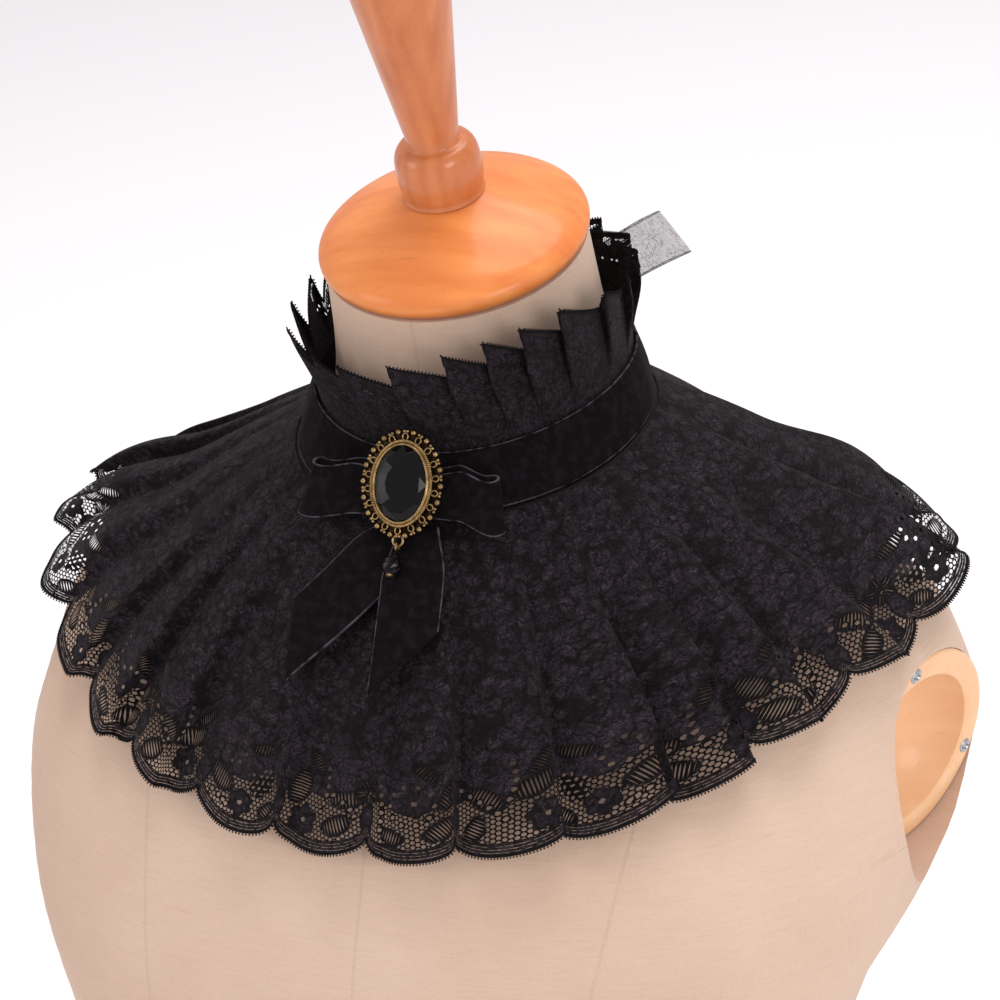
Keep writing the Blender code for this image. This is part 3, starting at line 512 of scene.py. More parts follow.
# Machine lace in black polyamide: matt thread, raised solid work, open net
def laceMaterial(name, note):
    material, tree, shader = newMaterial(name)
    cloth = addNode(tree, "UVMap", uv_map="cloth")
    window, angle, lines, holes, edge = (
        addNode(tree, "Attribute", attribute_name=label).outputs["Fac"]
        for label in ("window", "angle", "lines", "holes", "edge"))
    # net: hexagonal holes, 1.7 mm from one to the next
    waves = []
    for across, up in ((1.0, 0.0), (-0.5, 0.866), (-0.5, -0.866)):
        along = addNode(tree, "VectorMath", (cloth, (across, up, 0.0)), operation="DOT_PRODUCT")
        phase = addNode(tree, "Math", (along, 2.0 * tau / (sqrt(3.0) * note["netPitch"])),
                operation="MULTIPLY")
        waves.append(addNode(tree, "Math", (phase,), operation="COSINE"))
    pair = addNode(tree, "Math", (waves[0], waves[1]))
    net = addNode(tree, "Math", (pair, waves[2]))
    # parallel fill, turned with each petal
    turned = addNode(tree, "VectorRotate", {"Vector": cloth, "Angle": angle},
            rotation_type="Z_AXIS", invert=True)
    split = addNode(tree, "SeparateXYZ", (turned,))
    fill = addNode(tree, "Math", (split.outputs["Y"], note["linePitch"] / 2), operation="PINGPONG")
    isNet = addNode(tree, "Math", (net, note["netClose"]), operation="LESS_THAN")
    # threads lie closer beside an outline
    swell = addNode(tree, "MapRange", (window, 0.1, 1.5, note["lineThread"] * 0.78,
            note["lineThread"] * 0.48))
    isLine = addNode(tree, "Math", (fill, swell), operation="LESS_THAN")
    threads = addNode(tree, "Mix", {"Factor": lines, 2: isNet, 3: isLine}, data_type="FLOAT")
    solid = addNode(tree, "Math", (window, 0.0), operation="LESS_THAN")
    rim = addNode(tree, "Math", (holes, -0.55), operation="GREATER_THAN")
    # the finest threads' cover is partly real net and partly a painted shade, darkening what shows
    # through every opening
    worked = threads
    for part in (note["veilAndShade"], solid, rim):
        worked = addNode(tree, "Math", (worked, part), operation="MAXIMUM")
    closed = addNode(tree, "Math", (holes, 0.0), operation="LESS_THAN")
    # slits in the edge band follow the scallops, crossed by threads
    stripe = addNode(tree, "Math", (edge, note["slitPitch"] / 2), operation="PINGPONG")
    crossed = addNode(tree, "TexNoise", {"Vector": cloth, "Scale": 700.0})
    narrow = addNode(tree, "Math", (crossed, 0.8, -0.30), operation="MULTIPLY_ADD")
    slit = addNode(tree, "Math", (stripe, narrow), operation="LESS_THAN")
    within = addNode(tree, "Math", (edge, sum(lace["slits"]) / 2,
            (lace["slits"][1] - lace["slits"][0]) / 2), operation="COMPARE")
    slits = addNode(tree, "Math", (slit, within), operation="MULTIPLY")
    banded = addNode(tree, "Math", (slits, -0.5, closed), operation="MULTIPLY_ADD")
    cover = addNode(tree, "Math", (worked, banded), operation="MULTIPLY", use_clamp=True)
    # solid work is a little greyer than its dark cords
    depth = addNode(tree, "MapRange", (window, 0.3, -1.3, 0.0, 1.0))
    # petals about 6 mm across with crinkled outlines, dark where the cord shows
    wave = addNode(tree, "TexNoise", {"Vector": cloth, "Scale": 260.0, "Detail": 3.5})
    wavy = addNode(tree, "VectorMath", (wave.outputs["Color"], (0.011, 0.011, 0.0), cloth),
            operation="MULTIPLY_ADD")
    petals = addNode(tree, "TexVoronoi", {"Vector": wavy, "Scale": 165.0}, voronoi_dimensions="2D",
            feature="DISTANCE_TO_EDGE")
    broken = addNode(tree, "TexNoise", {"Vector": cloth, "Scale": 420.0})
    breaks = addNode(tree, "Math", (broken, 0.22, -0.09), operation="MULTIPLY_ADD")
    petalEdge = addNode(tree, "Math", (petals, breaks))
    outline = addNode(tree, "MapRange", (petalEdge, 0.03, 0.15, 0.12, 1.0))
    veins = addNode(tree, "TexVoronoi", {"Vector": wavy, "Scale": 620.0}, voronoi_dimensions="2D",
            feature="DISTANCE_TO_EDGE")
    veined = addNode(tree, "MapRange", (veins, 0.0, 0.25, 0.3, 1.1))
    mottle = addNode(tree, "TexNoise", {"Vector": cloth, "Scale": 900.0, "Detail": 4.0})
    patchy = addNode(tree, "TexNoise", {"Vector": cloth, "Scale": 150.0, "Detail": 2.0})
    fuzz = addNode(tree, "MapRange", (mottle, 0.22, 0.64))
    patches = addNode(tree, "MapRange", (patchy, 0.32, 0.62, 0.45))
    drawn = addNode(tree, "Math", (outline, veined), operation="MULTIPLY")
    lightness = depth
    for part in (fuzz, patches, drawn):
        lightness = addNode(tree, "Math", (lightness, part), operation="MULTIPLY")
    colour = addNode(tree, "Mix", {"Factor": lightness, 6: note["cord"], 7: note["work"]},
            data_type="RGBA")
    # relief: cords stand proud, and the fill shows its threads
    weave = addNode(tree, "Math", (fill, 900.0), operation="MULTIPLY")
    cords = addNode(tree, "MapRange", (window, -1.6, -0.5, 0.25, 1.0))
    woven = addNode(tree, "Math", (weave, 0.3, cords), operation="MULTIPLY_ADD")
    grained = addNode(tree, "Math", (mottle, 0.7, woven), operation="MULTIPLY_ADD")
    relief = addNode(tree, "Math", (drawn, -0.55, grained), operation="MULTIPLY_ADD")
    bump = addNode(tree, "Bump", {"Height": relief, "Strength": note["bump"], "Distance": 0.0005})
    setInputs(tree, shader, {"Base Color": colour, "Alpha": cover, "Normal": bump,
            "Roughness": note["roughness"], "Specular IOR Level": note["gloss"],
            "Sheen Weight": note["sheen"], "Sheen Roughness": 0.5})
    return material


flounce = {
    "across": 0.1380,      # of the flat lace
    "top": 0.0027,         # metres below the seam, where the lace shows
    "pleats": 26,
    "seamDepth": 0.0004,
    "hemDepth": 0.0095,
    "fullAt": 0.105,       # metres below the seam, where the pleats are at their deepest
    "crest": 0.70,
    "overhang": 0.26,      # of a pleat's pitch
    "ripple": 0.0007,      # small waves on the pleats' fronts
    "cadWall": 0.0012,
    "scallops": 26,
    "scallopDepth": 0.0085,
    "borderDepth": 0.040,
    "columns": 34,         # for each scallop
    "upperRows": 58,
    "borderRows": 44,
    "seamRadius": 79.0,    # mm, of the flat cut
    "hemRadius": 209.0,
    "flatDepth": 130.0,    # mm, between those two
    "flatTurn": 4.8,       # radians
    # where the hem stands off each shoulder: middle, half width, height
    "standOff": ((radians(-98.0), 0.75, 0.0140), (radians(122.0), 0.75, 0.0220)),
    "material": {
        "netPitch": 0.0017,       # metres, as the next two
        "linePitch": 0.00115,
        "lineThread": 0.00070,
        "slitPitch": 1.1,         # mm, as the edge field
        "netClose": -0.42,        # sets how thick the net's threads are
        "veilAndShade": 0.12,             # cover of the finest threads between the others, and partly a painted shade on the cloth seen through the openings
        "cord": "#0d090c",
        "work": "#3b3339",
        "bump": 0.9,
        "roughness": 0.7,
        "sheen": 0.02,
        "gloss": 0.06,
    },
}
blackLace = laceMaterial("blackPolyamideLace", flounce["material"])


def grown(length):
    return smoothStep(length / flounce["fullAt"])


def pleatEnvelope(length):
    return flounce["seamDepth"] + (flounce["hemDepth"] - flounce["seamDepth"]) * grown(length)


# Height of the uneven pleats, 0 to 1, at a share round the hem
def pleatShape(share):
    uneven = 0.24 * np.sin(tau * (3.0 * share + 0.13)) + 0.16 * np.sin(tau * (7.0 * share + 0.41))
    phase = flounce["pleats"] * share + uneven
    place, crest = phase % 1.0, flounce["crest"]
    rise = np.sin(pi / 2 * np.minimum(place / crest, 1.0)) ** 1.4
    fall = np.cos(pi / 2 * np.clip((place - crest) / (1.0 - crest), 0.0, 1.0)) ** 0.8
    return np.where(place < crest, rise, fall) * (0.84 + 0.16 * np.sin(tau * (5.0 * share + 0.3)))


def scallopEdge(share):
    wave = np.abs(np.sin(pi * flounce["scallops"] * share)) ** 0.55
    return flounce["scallopDepth"] * (1.0 - wave)


# A lift that clears the pleats, with the wall that the solid flounce has
def overPleats(length):
    return 1.12 * pleatEnvelope(length) + 1.3 * flounce["cadWall"] + clearGap


# One scallop's part of the border, drawn by its middle; side is 1, or -1 where it is mirrored
def drawScallop(canvas, dx, high, base, side, design, rng):
    dx = dx * side
    for kind, across, up, *sizes in design:
        across, up = across + rng.uniform(-0.8, 0.8), up + rng.uniform(-0.6, 0.6)
        if kind == "lines":
            run = (sizes[2] + pi / 2 + 0.35 * rng.uniform(-1, 1)) * side
            paintPatch(canvas, dx - across, high - up, *sizes, base + run)
        elif kind == "bloom":
            paintFlower(canvas, dx - across, high - up, sizes[0], 6, rng.uniform(0, tau), False)
            paintEyelets(canvas, dx, high, [(across, up)], lace["eyelet"] * 1.1)
        elif kind == "chain":
            endAcross, endUp, count = sizes
            spots = [(across + (endAcross - across) * t + 1.1 * sin(pi * t),
                      up + (endUp - up) * t) for t in np.linspace(0.0, 1.0, count)]
            paintEyelets(canvas, dx, high, spots, lace["eyelet"])
        elif kind == "ring":
            radius, count = sizes
            spots = [(across + radius * cos(tau * t), up + radius * sin(tau * t))
                     for t in np.arange(count) / count]
            paintEyelets(canvas, dx, high, spots, lace["eyelet"])
        elif kind == "lattice":
            long, wide, turn = sizes
            spots = []
            for i in range(-4, 5):
                for j in range(-4, 5):
                    u, v = 2.5 * (i + 0.5 * (j % 2)), 2.1 * j
                    if (u / long) ** 2 + (v / wide) ** 2 < 1.0:
                        spots.append((across + u * cos(turn) - v * sin(turn),
                                      up + u * sin(turn) + v * cos(turn)))
            paintEyelets(canvas, dx, high, spots, lace["eyelet"] * 0.82)


# Regular border at the scallops, flowers strewn close above it
def drawFlounceLace(share, high, edge):
    turn = share * flounce["flatTurn"]
    reach = flounce["seamRadius"] + (flounce["hemRadius"] - flounce["seamRadius"]) * (
        1.0 - high / flounce["flatDepth"])
    x, y = reach * np.cos(turn), reach * np.sin(turn)
    canvas = newCanvas(x.shape, lace["ground"])
    rng = np.random.default_rng(lace["seed"])
    pitch, jitter = lace["flowerPitch"], lace["jitter"]
    for i in range(-14, 15):
        for j in range(-15, 16):
            dx = x - ((i + 0.5 * (j % 2)) * pitch + rng.uniform(-jitter, jitter))
            dy = y - (j * pitch * 0.9 + rng.uniform(-jitter, jitter))
            flower = rng.uniform(*lace["flower"]), int(rng.integers(5, 8)), rng.uniform(0, tau)
            leafTurn = rng.uniform(0, pi)
            paintLeaf(canvas, dx - pitch * 0.5, dy - 2.0, *lace["leaf"], leafTurn, False)
            paintLeaf(canvas, dx, dy - pitch * 0.5, *lace["smallLeaf"], leafTurn + 1.2, False)
            paintFlower(canvas, dx, dy, *flower, False)
    scallopTurn = tau * flounce["scallops"] * share
    border = high < lace["border"] + 2.4 * np.sin(scallopTurn) + 1.6 * np.sin(tau * 7.0 * share)
    for key, value in (("window", lace["solid"]), ("angle", 0.0), ("lines", 0.0)):
        canvas[key] = np.where(border, value, canvas[key])
    netTop = lace["netTop"] + 3.0 * np.cos(scallopTurn) + 2.0 * np.sin(tau * 9.0 * share)
    canvas["window"] = np.where(border, np.minimum(edge - lace["edgeBand"], netTop - high),
                                canvas["window"])
    for k in range(flounce["scallops"]):
        for middle, whole in (((k + 0.5) / flounce["scallops"], True),
                              ((k + 1.0) / flounce["scallops"], False)):
            dx = (share - middle) * flounce["flatTurn"] * reach
            base = middle * flounce["flatTurn"] + pi / 2
            side = 1.0 if rng.random() < 0.5 else -1.0
            if whole:
                drawScallop(canvas, dx, high, base, side, lace["scallops"][(3 * k) % 4], rng)
            else:
                (up, radius), (leafUp, *leaf) = lace["between"]
                paintFlower(canvas, dx, high - up, radius, 5, rng.uniform(0, tau), k % 3 == 0, base)
                paintLeaf(canvas, dx, high - leafUp, *leaf, pi / 2, False)
    canvas["edge"] = edge
    return x, y, canvas


def makeFlounce():
    share = np.linspace(0.0, 1.0, flounce["scallops"] * flounce["columns"] + 1)[None, :]
    angle = planAngle(share)
    whole = flounceLength(angle)
    top = flounce["top"]
    upper = np.linspace(0.0, 1.0, flounce["upperRows"], endpoint=False)[:, None]
    lower = np.linspace(0.0, 1.0, flounce["borderRows"] + 1)[:, None]
    hem = whole - scallopEdge(share)
    start = whole - flounce["borderDepth"]
    down = np.concatenate([top + upper * (start - top), start + lower * (hem - start)])
    shape = pleatShape(share)
    ripple = grown(down) * np.sin(tau * (41.0 * share + 0.2)) * smoothStep(shape * 2.0)
    lift = pleatEnvelope(down) * shape + flounce["ripple"] * ripple
    shift = flounce["overhang"] * tau / flounce["pleats"] * shape ** 2 * grown(down)
    points = drapePoint(angle + shift, down, lift)
    for middle, half, height in flounce["standOff"]:
        near = smoothStep(1.0 - np.abs(angle - middle) / half)
        points[..., 2] += height * near * smoothStep((down - 0.05) / 0.08)
    high = (whole - down) * 1000.0
    edge = high - scallopEdge(share) * 1000.0
    share, high, edge = np.broadcast_arrays(share, high, edge)
    x, y, canvas = drawFlounceLace(share, high, edge)
    mesh = gridMesh("laceFlounce", points, np.stack([x, y], axis=-1) / 1000.0, canvas, flip=True)
    piece = linkMesh("laceFlounce", mesh, blackLace)
    return piece, points


flouncePiece, flouncePoints = makeFlounce()
print("stage: flounce", len(flouncePiece.data.polygons))


underlayer = {
    "across": 0.1010,      # of the flat cloth
    "shorter": 0.0370,     # than the lace
    "wave": 0.0018,
    "wall": 0.0006,
    "rows": 50,
    "columns": 300,
    "drop": 0.0008,
    "thread": 0.0006,
    "flatLength": 0.8,
}


# Black cotton lawn, plain woven: dull, with a fine even thread
def cottonMaterial():
    material, tree, shader = newMaterial("blackCottonLawn")
    cloth = addNode(tree, "UVMap", uv_map="cloth")
    warp, weft = (addNode(tree, "TexWave", {"Vector": cloth, "Scale": 0.05 / underlayer["thread"]},
                          bands_direction=way).outputs["Fac"] for way in "XY")
    both = addNode(tree, "Math", (warp, weft), operation="MULTIPLY")
    bump = addNode(tree, "Bump", {"Height": both, "Strength": 0.35, "Distance": 0.0003})
    setInputs(tree, shader, {"Normal": bump, "Base Color": "#0d0c0f", "Roughness": 0.88,
            "Specular IOR Level": 0.25})
    return material


def makeUnderlayer():
    share = np.linspace(0.0, 1.0, underlayer["columns"] + 1)[None, :]
    angle = planAngle(share)
    depth = flounceLength(angle) - underlayer["shorter"] \
        + underlayer["wave"] * np.sin(tau * 11.0 * share)
    down = clearGap + np.linspace(0.0, 1.0, underlayer["rows"] + 1)[:, None] * depth
    lift = -(clearGap + underlayer["drop"] * smoothStep(down / 0.02))
    points = drapePoint(angle, down, lift)
    uv = np.stack(np.broadcast_arrays(share * underlayer["flatLength"], down), axis=-1)
    piece = linkMesh("cottonUnderlayer", gridMesh("cottonUnderlayer", points, uv, flip=True),
                     cottonMaterial())
    return giveWall(piece, underlayer["wall"], -1.0)


underPiece = makeUnderlayer()
print("stage: under layer")


frill = {
    "height": 0.0625,
    "pleats": 24,
    "depth": 0.0058,
    "flare": 0.04,
    "slump": 0.0180,
    "slumpAngle": radians(-60.0),
    "slumpWidth": radians(120.0),
    "backDrop": 0.0080,    # the free frill sinks at the back and over both shoulders
    "foot": 0.0005,
    "ripple": 0.0006,
    "tilt": 0.0135,        # each knife pleat's top runs down from its free fold
    "columns": 32,         # for each pleat
    "rows": 58,
    "overhang": 0.34,
    "flatLength": 620.0,   # mm
    "openFrom": 1.5,       # radians from the front, where the top shows its net
    "openBand": (2.4, 16.0),       # mm below the top edge
    "flowerPitch": (14.5, 13.0),   # mm, as are the next sizes
    "jitter": (2.5, 2.0),
    "flower": (5.5, 7.5),
    "leaf": (5.0, 2.2),
    "strewnTop": 14.0,     # below the top edge
    "leafAside": 7.0,
    "motifPitch": 20.0,
    # in the open band: a flower's offset, depth and radius, and a leaf's offset and depth
    "motif": ((4.0, 8.0, 4.6), (5.0, 9.0)),
    "chain": (-7.0, 3.4, 15.0, 0.8),   # eyelets: first, step, depth, radius
    # a knife pleat's depth, 0 to 1, along its pitch
    "pleatAt": (0.0, 0.09, 0.15, 0.22, 0.60, 1.0),
    "pleatDepth": (0.0, 0.82, 0.99, 1.0, 0.52, 0.0),
}


# Points of the frill's knife-pleated wall at a share round the neck and a level up it
def frillCurve(share, level):
    angle = planAngle(share)
    place = (share * frill["pleats"] + 0.22 * np.sin(tau * 5.0 * share)) % 1.0
    depth = np.interp(place, frill["pleatAt"], frill["pleatDepth"])
    away = np.abs((angle - frill["slumpAngle"] + pi) % tau - pi) / frill["slumpWidth"]
    band = seam["bandWidth"]
    above = np.maximum(0.0, level - band) / (frill["height"] - band)
    tilted = np.interp(place, [0.0, 0.15, 1.0], [-0.5, 0.5, -0.5])
    slumped = 1.0 - smoothStep(away)
    behind = smoothStep((np.abs(angle) - 0.9) / 0.9) * (1.0 - slumped * 0.7)
    sunk = frill["slump"] * slumped + frill["backDrop"] * behind
    rise = level - sunk * above + frill["tilt"] * tilted * above ** 2 * (1.0 - 0.6 * behind)
    opened = smoothStep((rise - band) / (frill["height"] - band) * 1.3)
    radius = bandRadius(angle, np.minimum(rise, band)) - frill["foot"] \
        + frill["flare"] * np.maximum(0.0, rise - band) + frill["depth"] * depth * opened \
        + frill["ripple"] * opened * np.sin(tau * 17.0 * share + 60.0 * rise)
    shift = -frill["overhang"] * tau / frill["pleats"] * depth * opened
    return formPoint(angle + shift, radius, seamHeight(angle) + rise)


def makeFrill():
    share = np.linspace(0.0, 1.0, frill["pleats"] * frill["columns"] + 1)[None, :]
    level = np.linspace(clearGap, frill["height"], frill["rows"] + 1)[:, None]
    points = frillCurve(share, level)
    share, level = np.broadcast_arrays(share, level)
    x, high = share * frill["flatLength"], (frill["height"] - level) * 1000.0
    canvas = newCanvas(x.shape, lace["solid"])
    canvas["edge"] = np.full(x.shape, -1.0)   # its edge has no slits
    showing = np.abs(planAngle(share)) > frill["openFrom"]
    top, foot = frill["openBand"]
    canvas["window"] = np.where(showing, np.minimum(high - top, foot - high), lace["solid"])
    rng = np.random.default_rng(lace["seed"] + 1)
    pitch, jitter = frill["flowerPitch"], frill["jitter"]
    for i in range(44):
        for j in range(4):
            dx = x - ((i + 0.5 * (j % 2)) * pitch[0] + rng.uniform(-jitter[0], jitter[0]))
            down = frill["strewnTop"] + j * pitch[1] + rng.uniform(-jitter[1], jitter[1])
            dy = high - down
            paintLeaf(canvas, dx - frill["leafAside"], dy, *frill["leaf"], rng.uniform(0, pi),
                      False)
            paintFlower(canvas, dx, dy, rng.uniform(*frill["flower"]), int(rng.integers(5, 8)),
                        rng.uniform(0, tau), False)
    (aside, down, radius), (leafAside, leafDown) = frill["motif"]
    first, step, chainDown, eyelet = frill["chain"]
    for i in range(int(frill["flatLength"] / frill["motifPitch"])):
        place = (i + 0.5) * frill["motifPitch"]
        dx, side = x - place, 1.0 if i % 2 else -1.0
        if abs(planAngle(place / frill["flatLength"])) > frill["openFrom"]:
            paintFlower(canvas, dx - aside * side, high - down, radius, 5, rng.uniform(0, tau),
                        False)
            paintLeaf(canvas, dx + leafAside * side, high - leafDown, *frill["leaf"], 0.7 * side,
                      True)
            spots = [(side * (first + step * k), chainDown) for k in range(5)]
            paintEyelets(canvas, dx, high, spots, eyelet)
    uv = np.stack([x, high], axis=-1) / 1000.0
    mesh = gridMesh("laceFrill", points, uv, canvas)
    return linkMesh("laceFrill", mesh, blackLace), points


frillPiece, frillPoints = makeFrill()
print("stage: frill")


picot = {"pitch": 0.00135, "radius": 0.00050, "thread": 0.00030, "cord": 0.00046}


# Small thread loops that stand out side by side from an edge, on a cord that follows it
def picotTree(tree, ins):
    edge = addNode(tree, "GeometryNodeMeshToCurve", (ins["Geometry"],))
    spaced = addNode(tree, "GeometryNodeResampleCurve", {"Curve": edge, "Length": ins["pitch"]},
            mode="LENGTH")
    ring = addNode(tree, "GeometryNodeCurvePrimitiveCircle",
            {"Resolution": 7, "Radius": ins["radius"]})
    section = addNode(tree, "GeometryNodeCurvePrimitiveCircle",
            {"Resolution": 4, "Radius": ins["thread"]})
    loop = addNode(tree, "GeometryNodeCurveToMesh", (ring, section))
    outside = addNode(tree, "CombineXYZ", {1: ins["radius"]})
    # pinched, so each reads as a tooth
    moved = addNode(tree, "GeometryNodeTransform",
            {"Geometry": loop, "Translation": outside, "Scale": (0.55, 1.1, 0.9)})
    tangent = addNode(tree, "GeometryNodeInputTangent")
    along = addNode(tree, "FunctionNodeAlignEulerToVector", {"Vector": tangent}, axis="X")
    fall = addNode(tree, "GeometryNodeInputNamedAttribute", {"Name": "fall"},
            data_type="FLOAT_VECTOR")
    turn = addNode(tree, "FunctionNodeAlignEulerToVector", {"Rotation": along, "Vector": fall},
            axis="Y", pivot_axis="X")
    loops = addNode(tree, "GeometryNodeInstanceOnPoints",
            {"Points": spaced, "Instance": moved, "Rotation": turn})
    thick = addNode(tree, "GeometryNodeCurvePrimitiveCircle",
            {"Resolution": 6, "Radius": ins["cord"]})
    rope = addNode(tree, "GeometryNodeCurveToMesh", (spaced, thick, True))
    joined = addNode(tree, "GeometryNodeJoinGeometry")
    tree.links.new(loops.outputs[0], joined.inputs[0])
    tree.links.new(rope.outputs[0], joined.inputs[0])
    return finishTree(tree, joined, ins)


# Black cordonnet, twisted polyamide: a slight lustre on a near-black thread
def threadMaterial():
    material, tree, shader = newMaterial("blackCordonnet")
    place = addNode(tree, "TexCoord").outputs["Object"]
    grain = addNode(tree, "TexNoise", {"Vector": place, "Scale": 2200.0, "Detail": 2.0})
    tone = addNode(tree, "Mix", {"Factor": grain, 6: "#050406", 7: "#151315"}, data_type="RGBA")
    setInputs(tree, shader, {"Base Color": tone, "Roughness": 0.8, "Specular IOR Level": 0.1})
    return material


cordonnet = threadMaterial()


# The picots follow the last of the lace's rows and point away from the row before it
def makePicots(name, points):
    mesh = bpy.data.meshes.new(name)
    mesh.from_pydata(points[-1].tolist(), [(i, i + 1) for i in range(len(points[-1]) - 1)], [])
    piece = linkMesh(name, mesh)
    fall = piece.data.attributes.new("fall", "FLOAT_VECTOR", "POINT")
    fall.data.foreach_set("vector", (points[-1] - points[-2]).reshape(-1).astype(np.float32))
    return nodeModifier("picotEdging", picotTree, piece, **picot, material=cordonnet)


flouncePicots = makePicots("flouncePicots", flouncePoints)
frillPicots = makePicots("frillPicots", frillPoints)
print("stage: picots", len(flouncePicots.data.polygons))


velvet = {"pile": "#0e0b0d", "raised": "#1b161a", "selvedge": "#58525a", "edge": 0.0004}


# Rayon velvet ribbon: deep matt pile with a soft rim of light, and a flat woven selvedge
def velvetMaterial():
    material, tree, shader = newMaterial("blackRayonVelvet")
    across = addNode(tree, "Attribute", attribute_name="selvedge").outputs["Fac"]   # mm to the edge
    place = addNode(tree, "TexCoord").outputs["Object"]
    pile = addNode(tree, "TexNoise", {"Vector": place, "Scale": 1500.0, "Detail": 2.0})
    brushed = addNode(tree, "TexNoise", {"Vector": place, "Scale": 260.0, "Detail": 4.0})
    tone = addNode(tree, "MapRange", (brushed, 0.45, 0.75))
    nap = addNode(tree, "Mix", {"Factor": tone, 6: velvet["pile"], 7: velvet["raised"]},
            data_type="RGBA")
    outer = addNode(tree, "Math", (across, velvet["edge"] * 1000.0), operation="LESS_THAN")
    # pile hides the selvedge here and there
    bare = addNode(tree, "MapRange", (brushed, 0.32, 0.58, 0.0, 0.8))
    flat = addNode(tree, "Math", (outer, bare), operation="MULTIPLY")
    colour = addNode(tree, "Mix", {"Factor": flat, 6: nap, 7: velvet["selvedge"]}, data_type="RGBA")
    bump = addNode(tree, "Bump", {"Height": pile, "Strength": 0.45, "Distance": 0.0004})
    setInputs(tree, shader, {"Base Color": colour, "Normal": bump, "Roughness": 0.95,
            "Specular IOR Level": 0.06, "Sheen Weight": 0.10, "Sheen Roughness": 0.35,
            "Sheen Tint": "#8d858c"})
    return material


blackVelvet = velvetMaterial()
ribbon = {
    "wall": 0.0010,
    "cadWall": 0.0015,
    "crown": 0.0004,
    "ripple": 0.00025,
    "loopRise": 0.0178,
    "loopReach": (0.0375, 0.0305),   # picture's left, right
    "loopDroop": 0.0042,
    "droopStart": 0.0180,
    "loopDepth": 0.0060,
    "loopRoot": 0.0092,
    "loopGather": 0.016,   # metres from the knot, as far as its pinch is felt
    "knotFold": 0.0007,
    "hollow": 0.0012,
    "clearRise": 0.0016,
    "loopLean": 0.15,
    "bowLift": 0.0008,
    "bowRise": 0.0006,
    "width": 0.0230,
    "bandAcross": 0.0235,  # as it lies over both seams
    "loopAcross": 0.0210,  # pinched
    "tailStart": 0.0050,
    "tailTop": 0.0045,
    "tailRipple": 0.0007,
    "tailFold": 0.0006,    # where the knot pinches it
    "pinch": 0.60,
    "open": 0.0240,
    "rows": 15,            # across the ribbon
    "steps": 41,           # along a tail
    "bandSteps": 241,
    "tails": (   # name, length, turn, start across, extra lift, slant, the node it replaces
        ("velvetTailRight", 0.0670, radians(36.0), 0.0030, 0.0009, 0.0200, "bow_tail_right"),
        ("velvetTailLeft", 0.0560, radians(-5.0), 0.0050, 0.0028, -0.0230, "bow_tail_left")),
}


# Rows run across the ribbon; the selvedge field is the distance to its nearest edge
def ribbonMesh(name, points, flip=False):
    step = np.linalg.norm(np.diff(points, axis=0), axis=-1) * 1000.0
    low = np.concatenate([np.zeros((1, points.shape[1])), np.cumsum(step, axis=0)])
    edge = np.minimum(low, low[-1:] - low)
    return gridMesh(name, points, None, {"selvedge": edge}, flip=flip)


def makeBand():
    angle = planAngle(np.linspace(0.0, 1.0, ribbon["bandSteps"]))[None, :]
    share = np.linspace(0.0, 1.0, ribbon["rows"])[:, None]
    crown = (ribbon["crown"] + ribbon["ripple"] * np.sin(23.0 * angle)) * np.sin(pi * share)
    points = bandPoint(angle, share * seam["bandWidth"], clearGap + crown)
    piece = linkMesh("velvetBand", ribbonMesh("velvetBand", points), blackVelvet)
    return giveWall(piece, ribbon["wall"], 1.0)


# Out along the front of a folded loop, round its end and back
def loopPath(reach, depth, root, steps=26, turnSteps=16):
    length, half = reach - root, depth / 2
    path = [(root + length * i / steps, depth * (0.75 + 0.25 * sin(pi / 2 * i / steps)))
            for i in range(steps)]
    path += [(reach + half * cos(pi / 2 - pi * i / turnSteps),
              half + half * sin(pi / 2 - pi * i / turnSteps)) for i in range(turnSteps + 1)]
    return path + [(root + length * (steps - i) / steps, 0.0) for i in range(1, steps + 1)]


def makeBowLoop(name, side):
    lift, root = ribbon["cadWall"] + ribbon["bowLift"], ribbon["loopRoot"]
    roundNeck = float(bandRadius(0.0, seam["bandWidth"] / 2)) + lift
    reach, start = ribbon["loopReach"][side > 0.0], ribbon["droopStart"]
    rows = []
    for share in np.linspace(0.0, 1.0, ribbon["rows"]):
        row = []
        for along, off in loopPath(reach, ribbon["loopDepth"], root):
            settled = float(smoothStep((along - start) / (reach - start)))
            near = 1.0 - float(smoothStep((along - root) / ribbon["loopGather"]))
            width = ribbon["loopRise"] * (0.5 + (share - 0.5) * (1.0 - 0.16 * near))
            low = ribbon["bowRise"] - ribbon["loopDroop"] * settled
            overSeam = max(0.0, ribbon["clearRise"] - low) / tan(drape["frontSlope"])
            overSeam *= 1.0 - ribbon["loopLean"] * width / ribbon["loopRise"]
            crease = ribbon["knotFold"] * near * sin(tau * 2.5 * share)
            hollow = ribbon["hollow"] * sin(pi * share) * (off > 0.001)   # of the front alone
            out = lift + ribbon["cadWall"] + overSeam + off + crease - hollow
            row.append(bandPoint(side * along / roundNeck, low + width, out).tolist())
        rows.append(row)
    mesh = ribbonMesh(name, np.array(rows), flip=side < 0.0)
    return giveWall(linkMesh(name, mesh, blackVelvet), ribbon["wall"], -1.0)


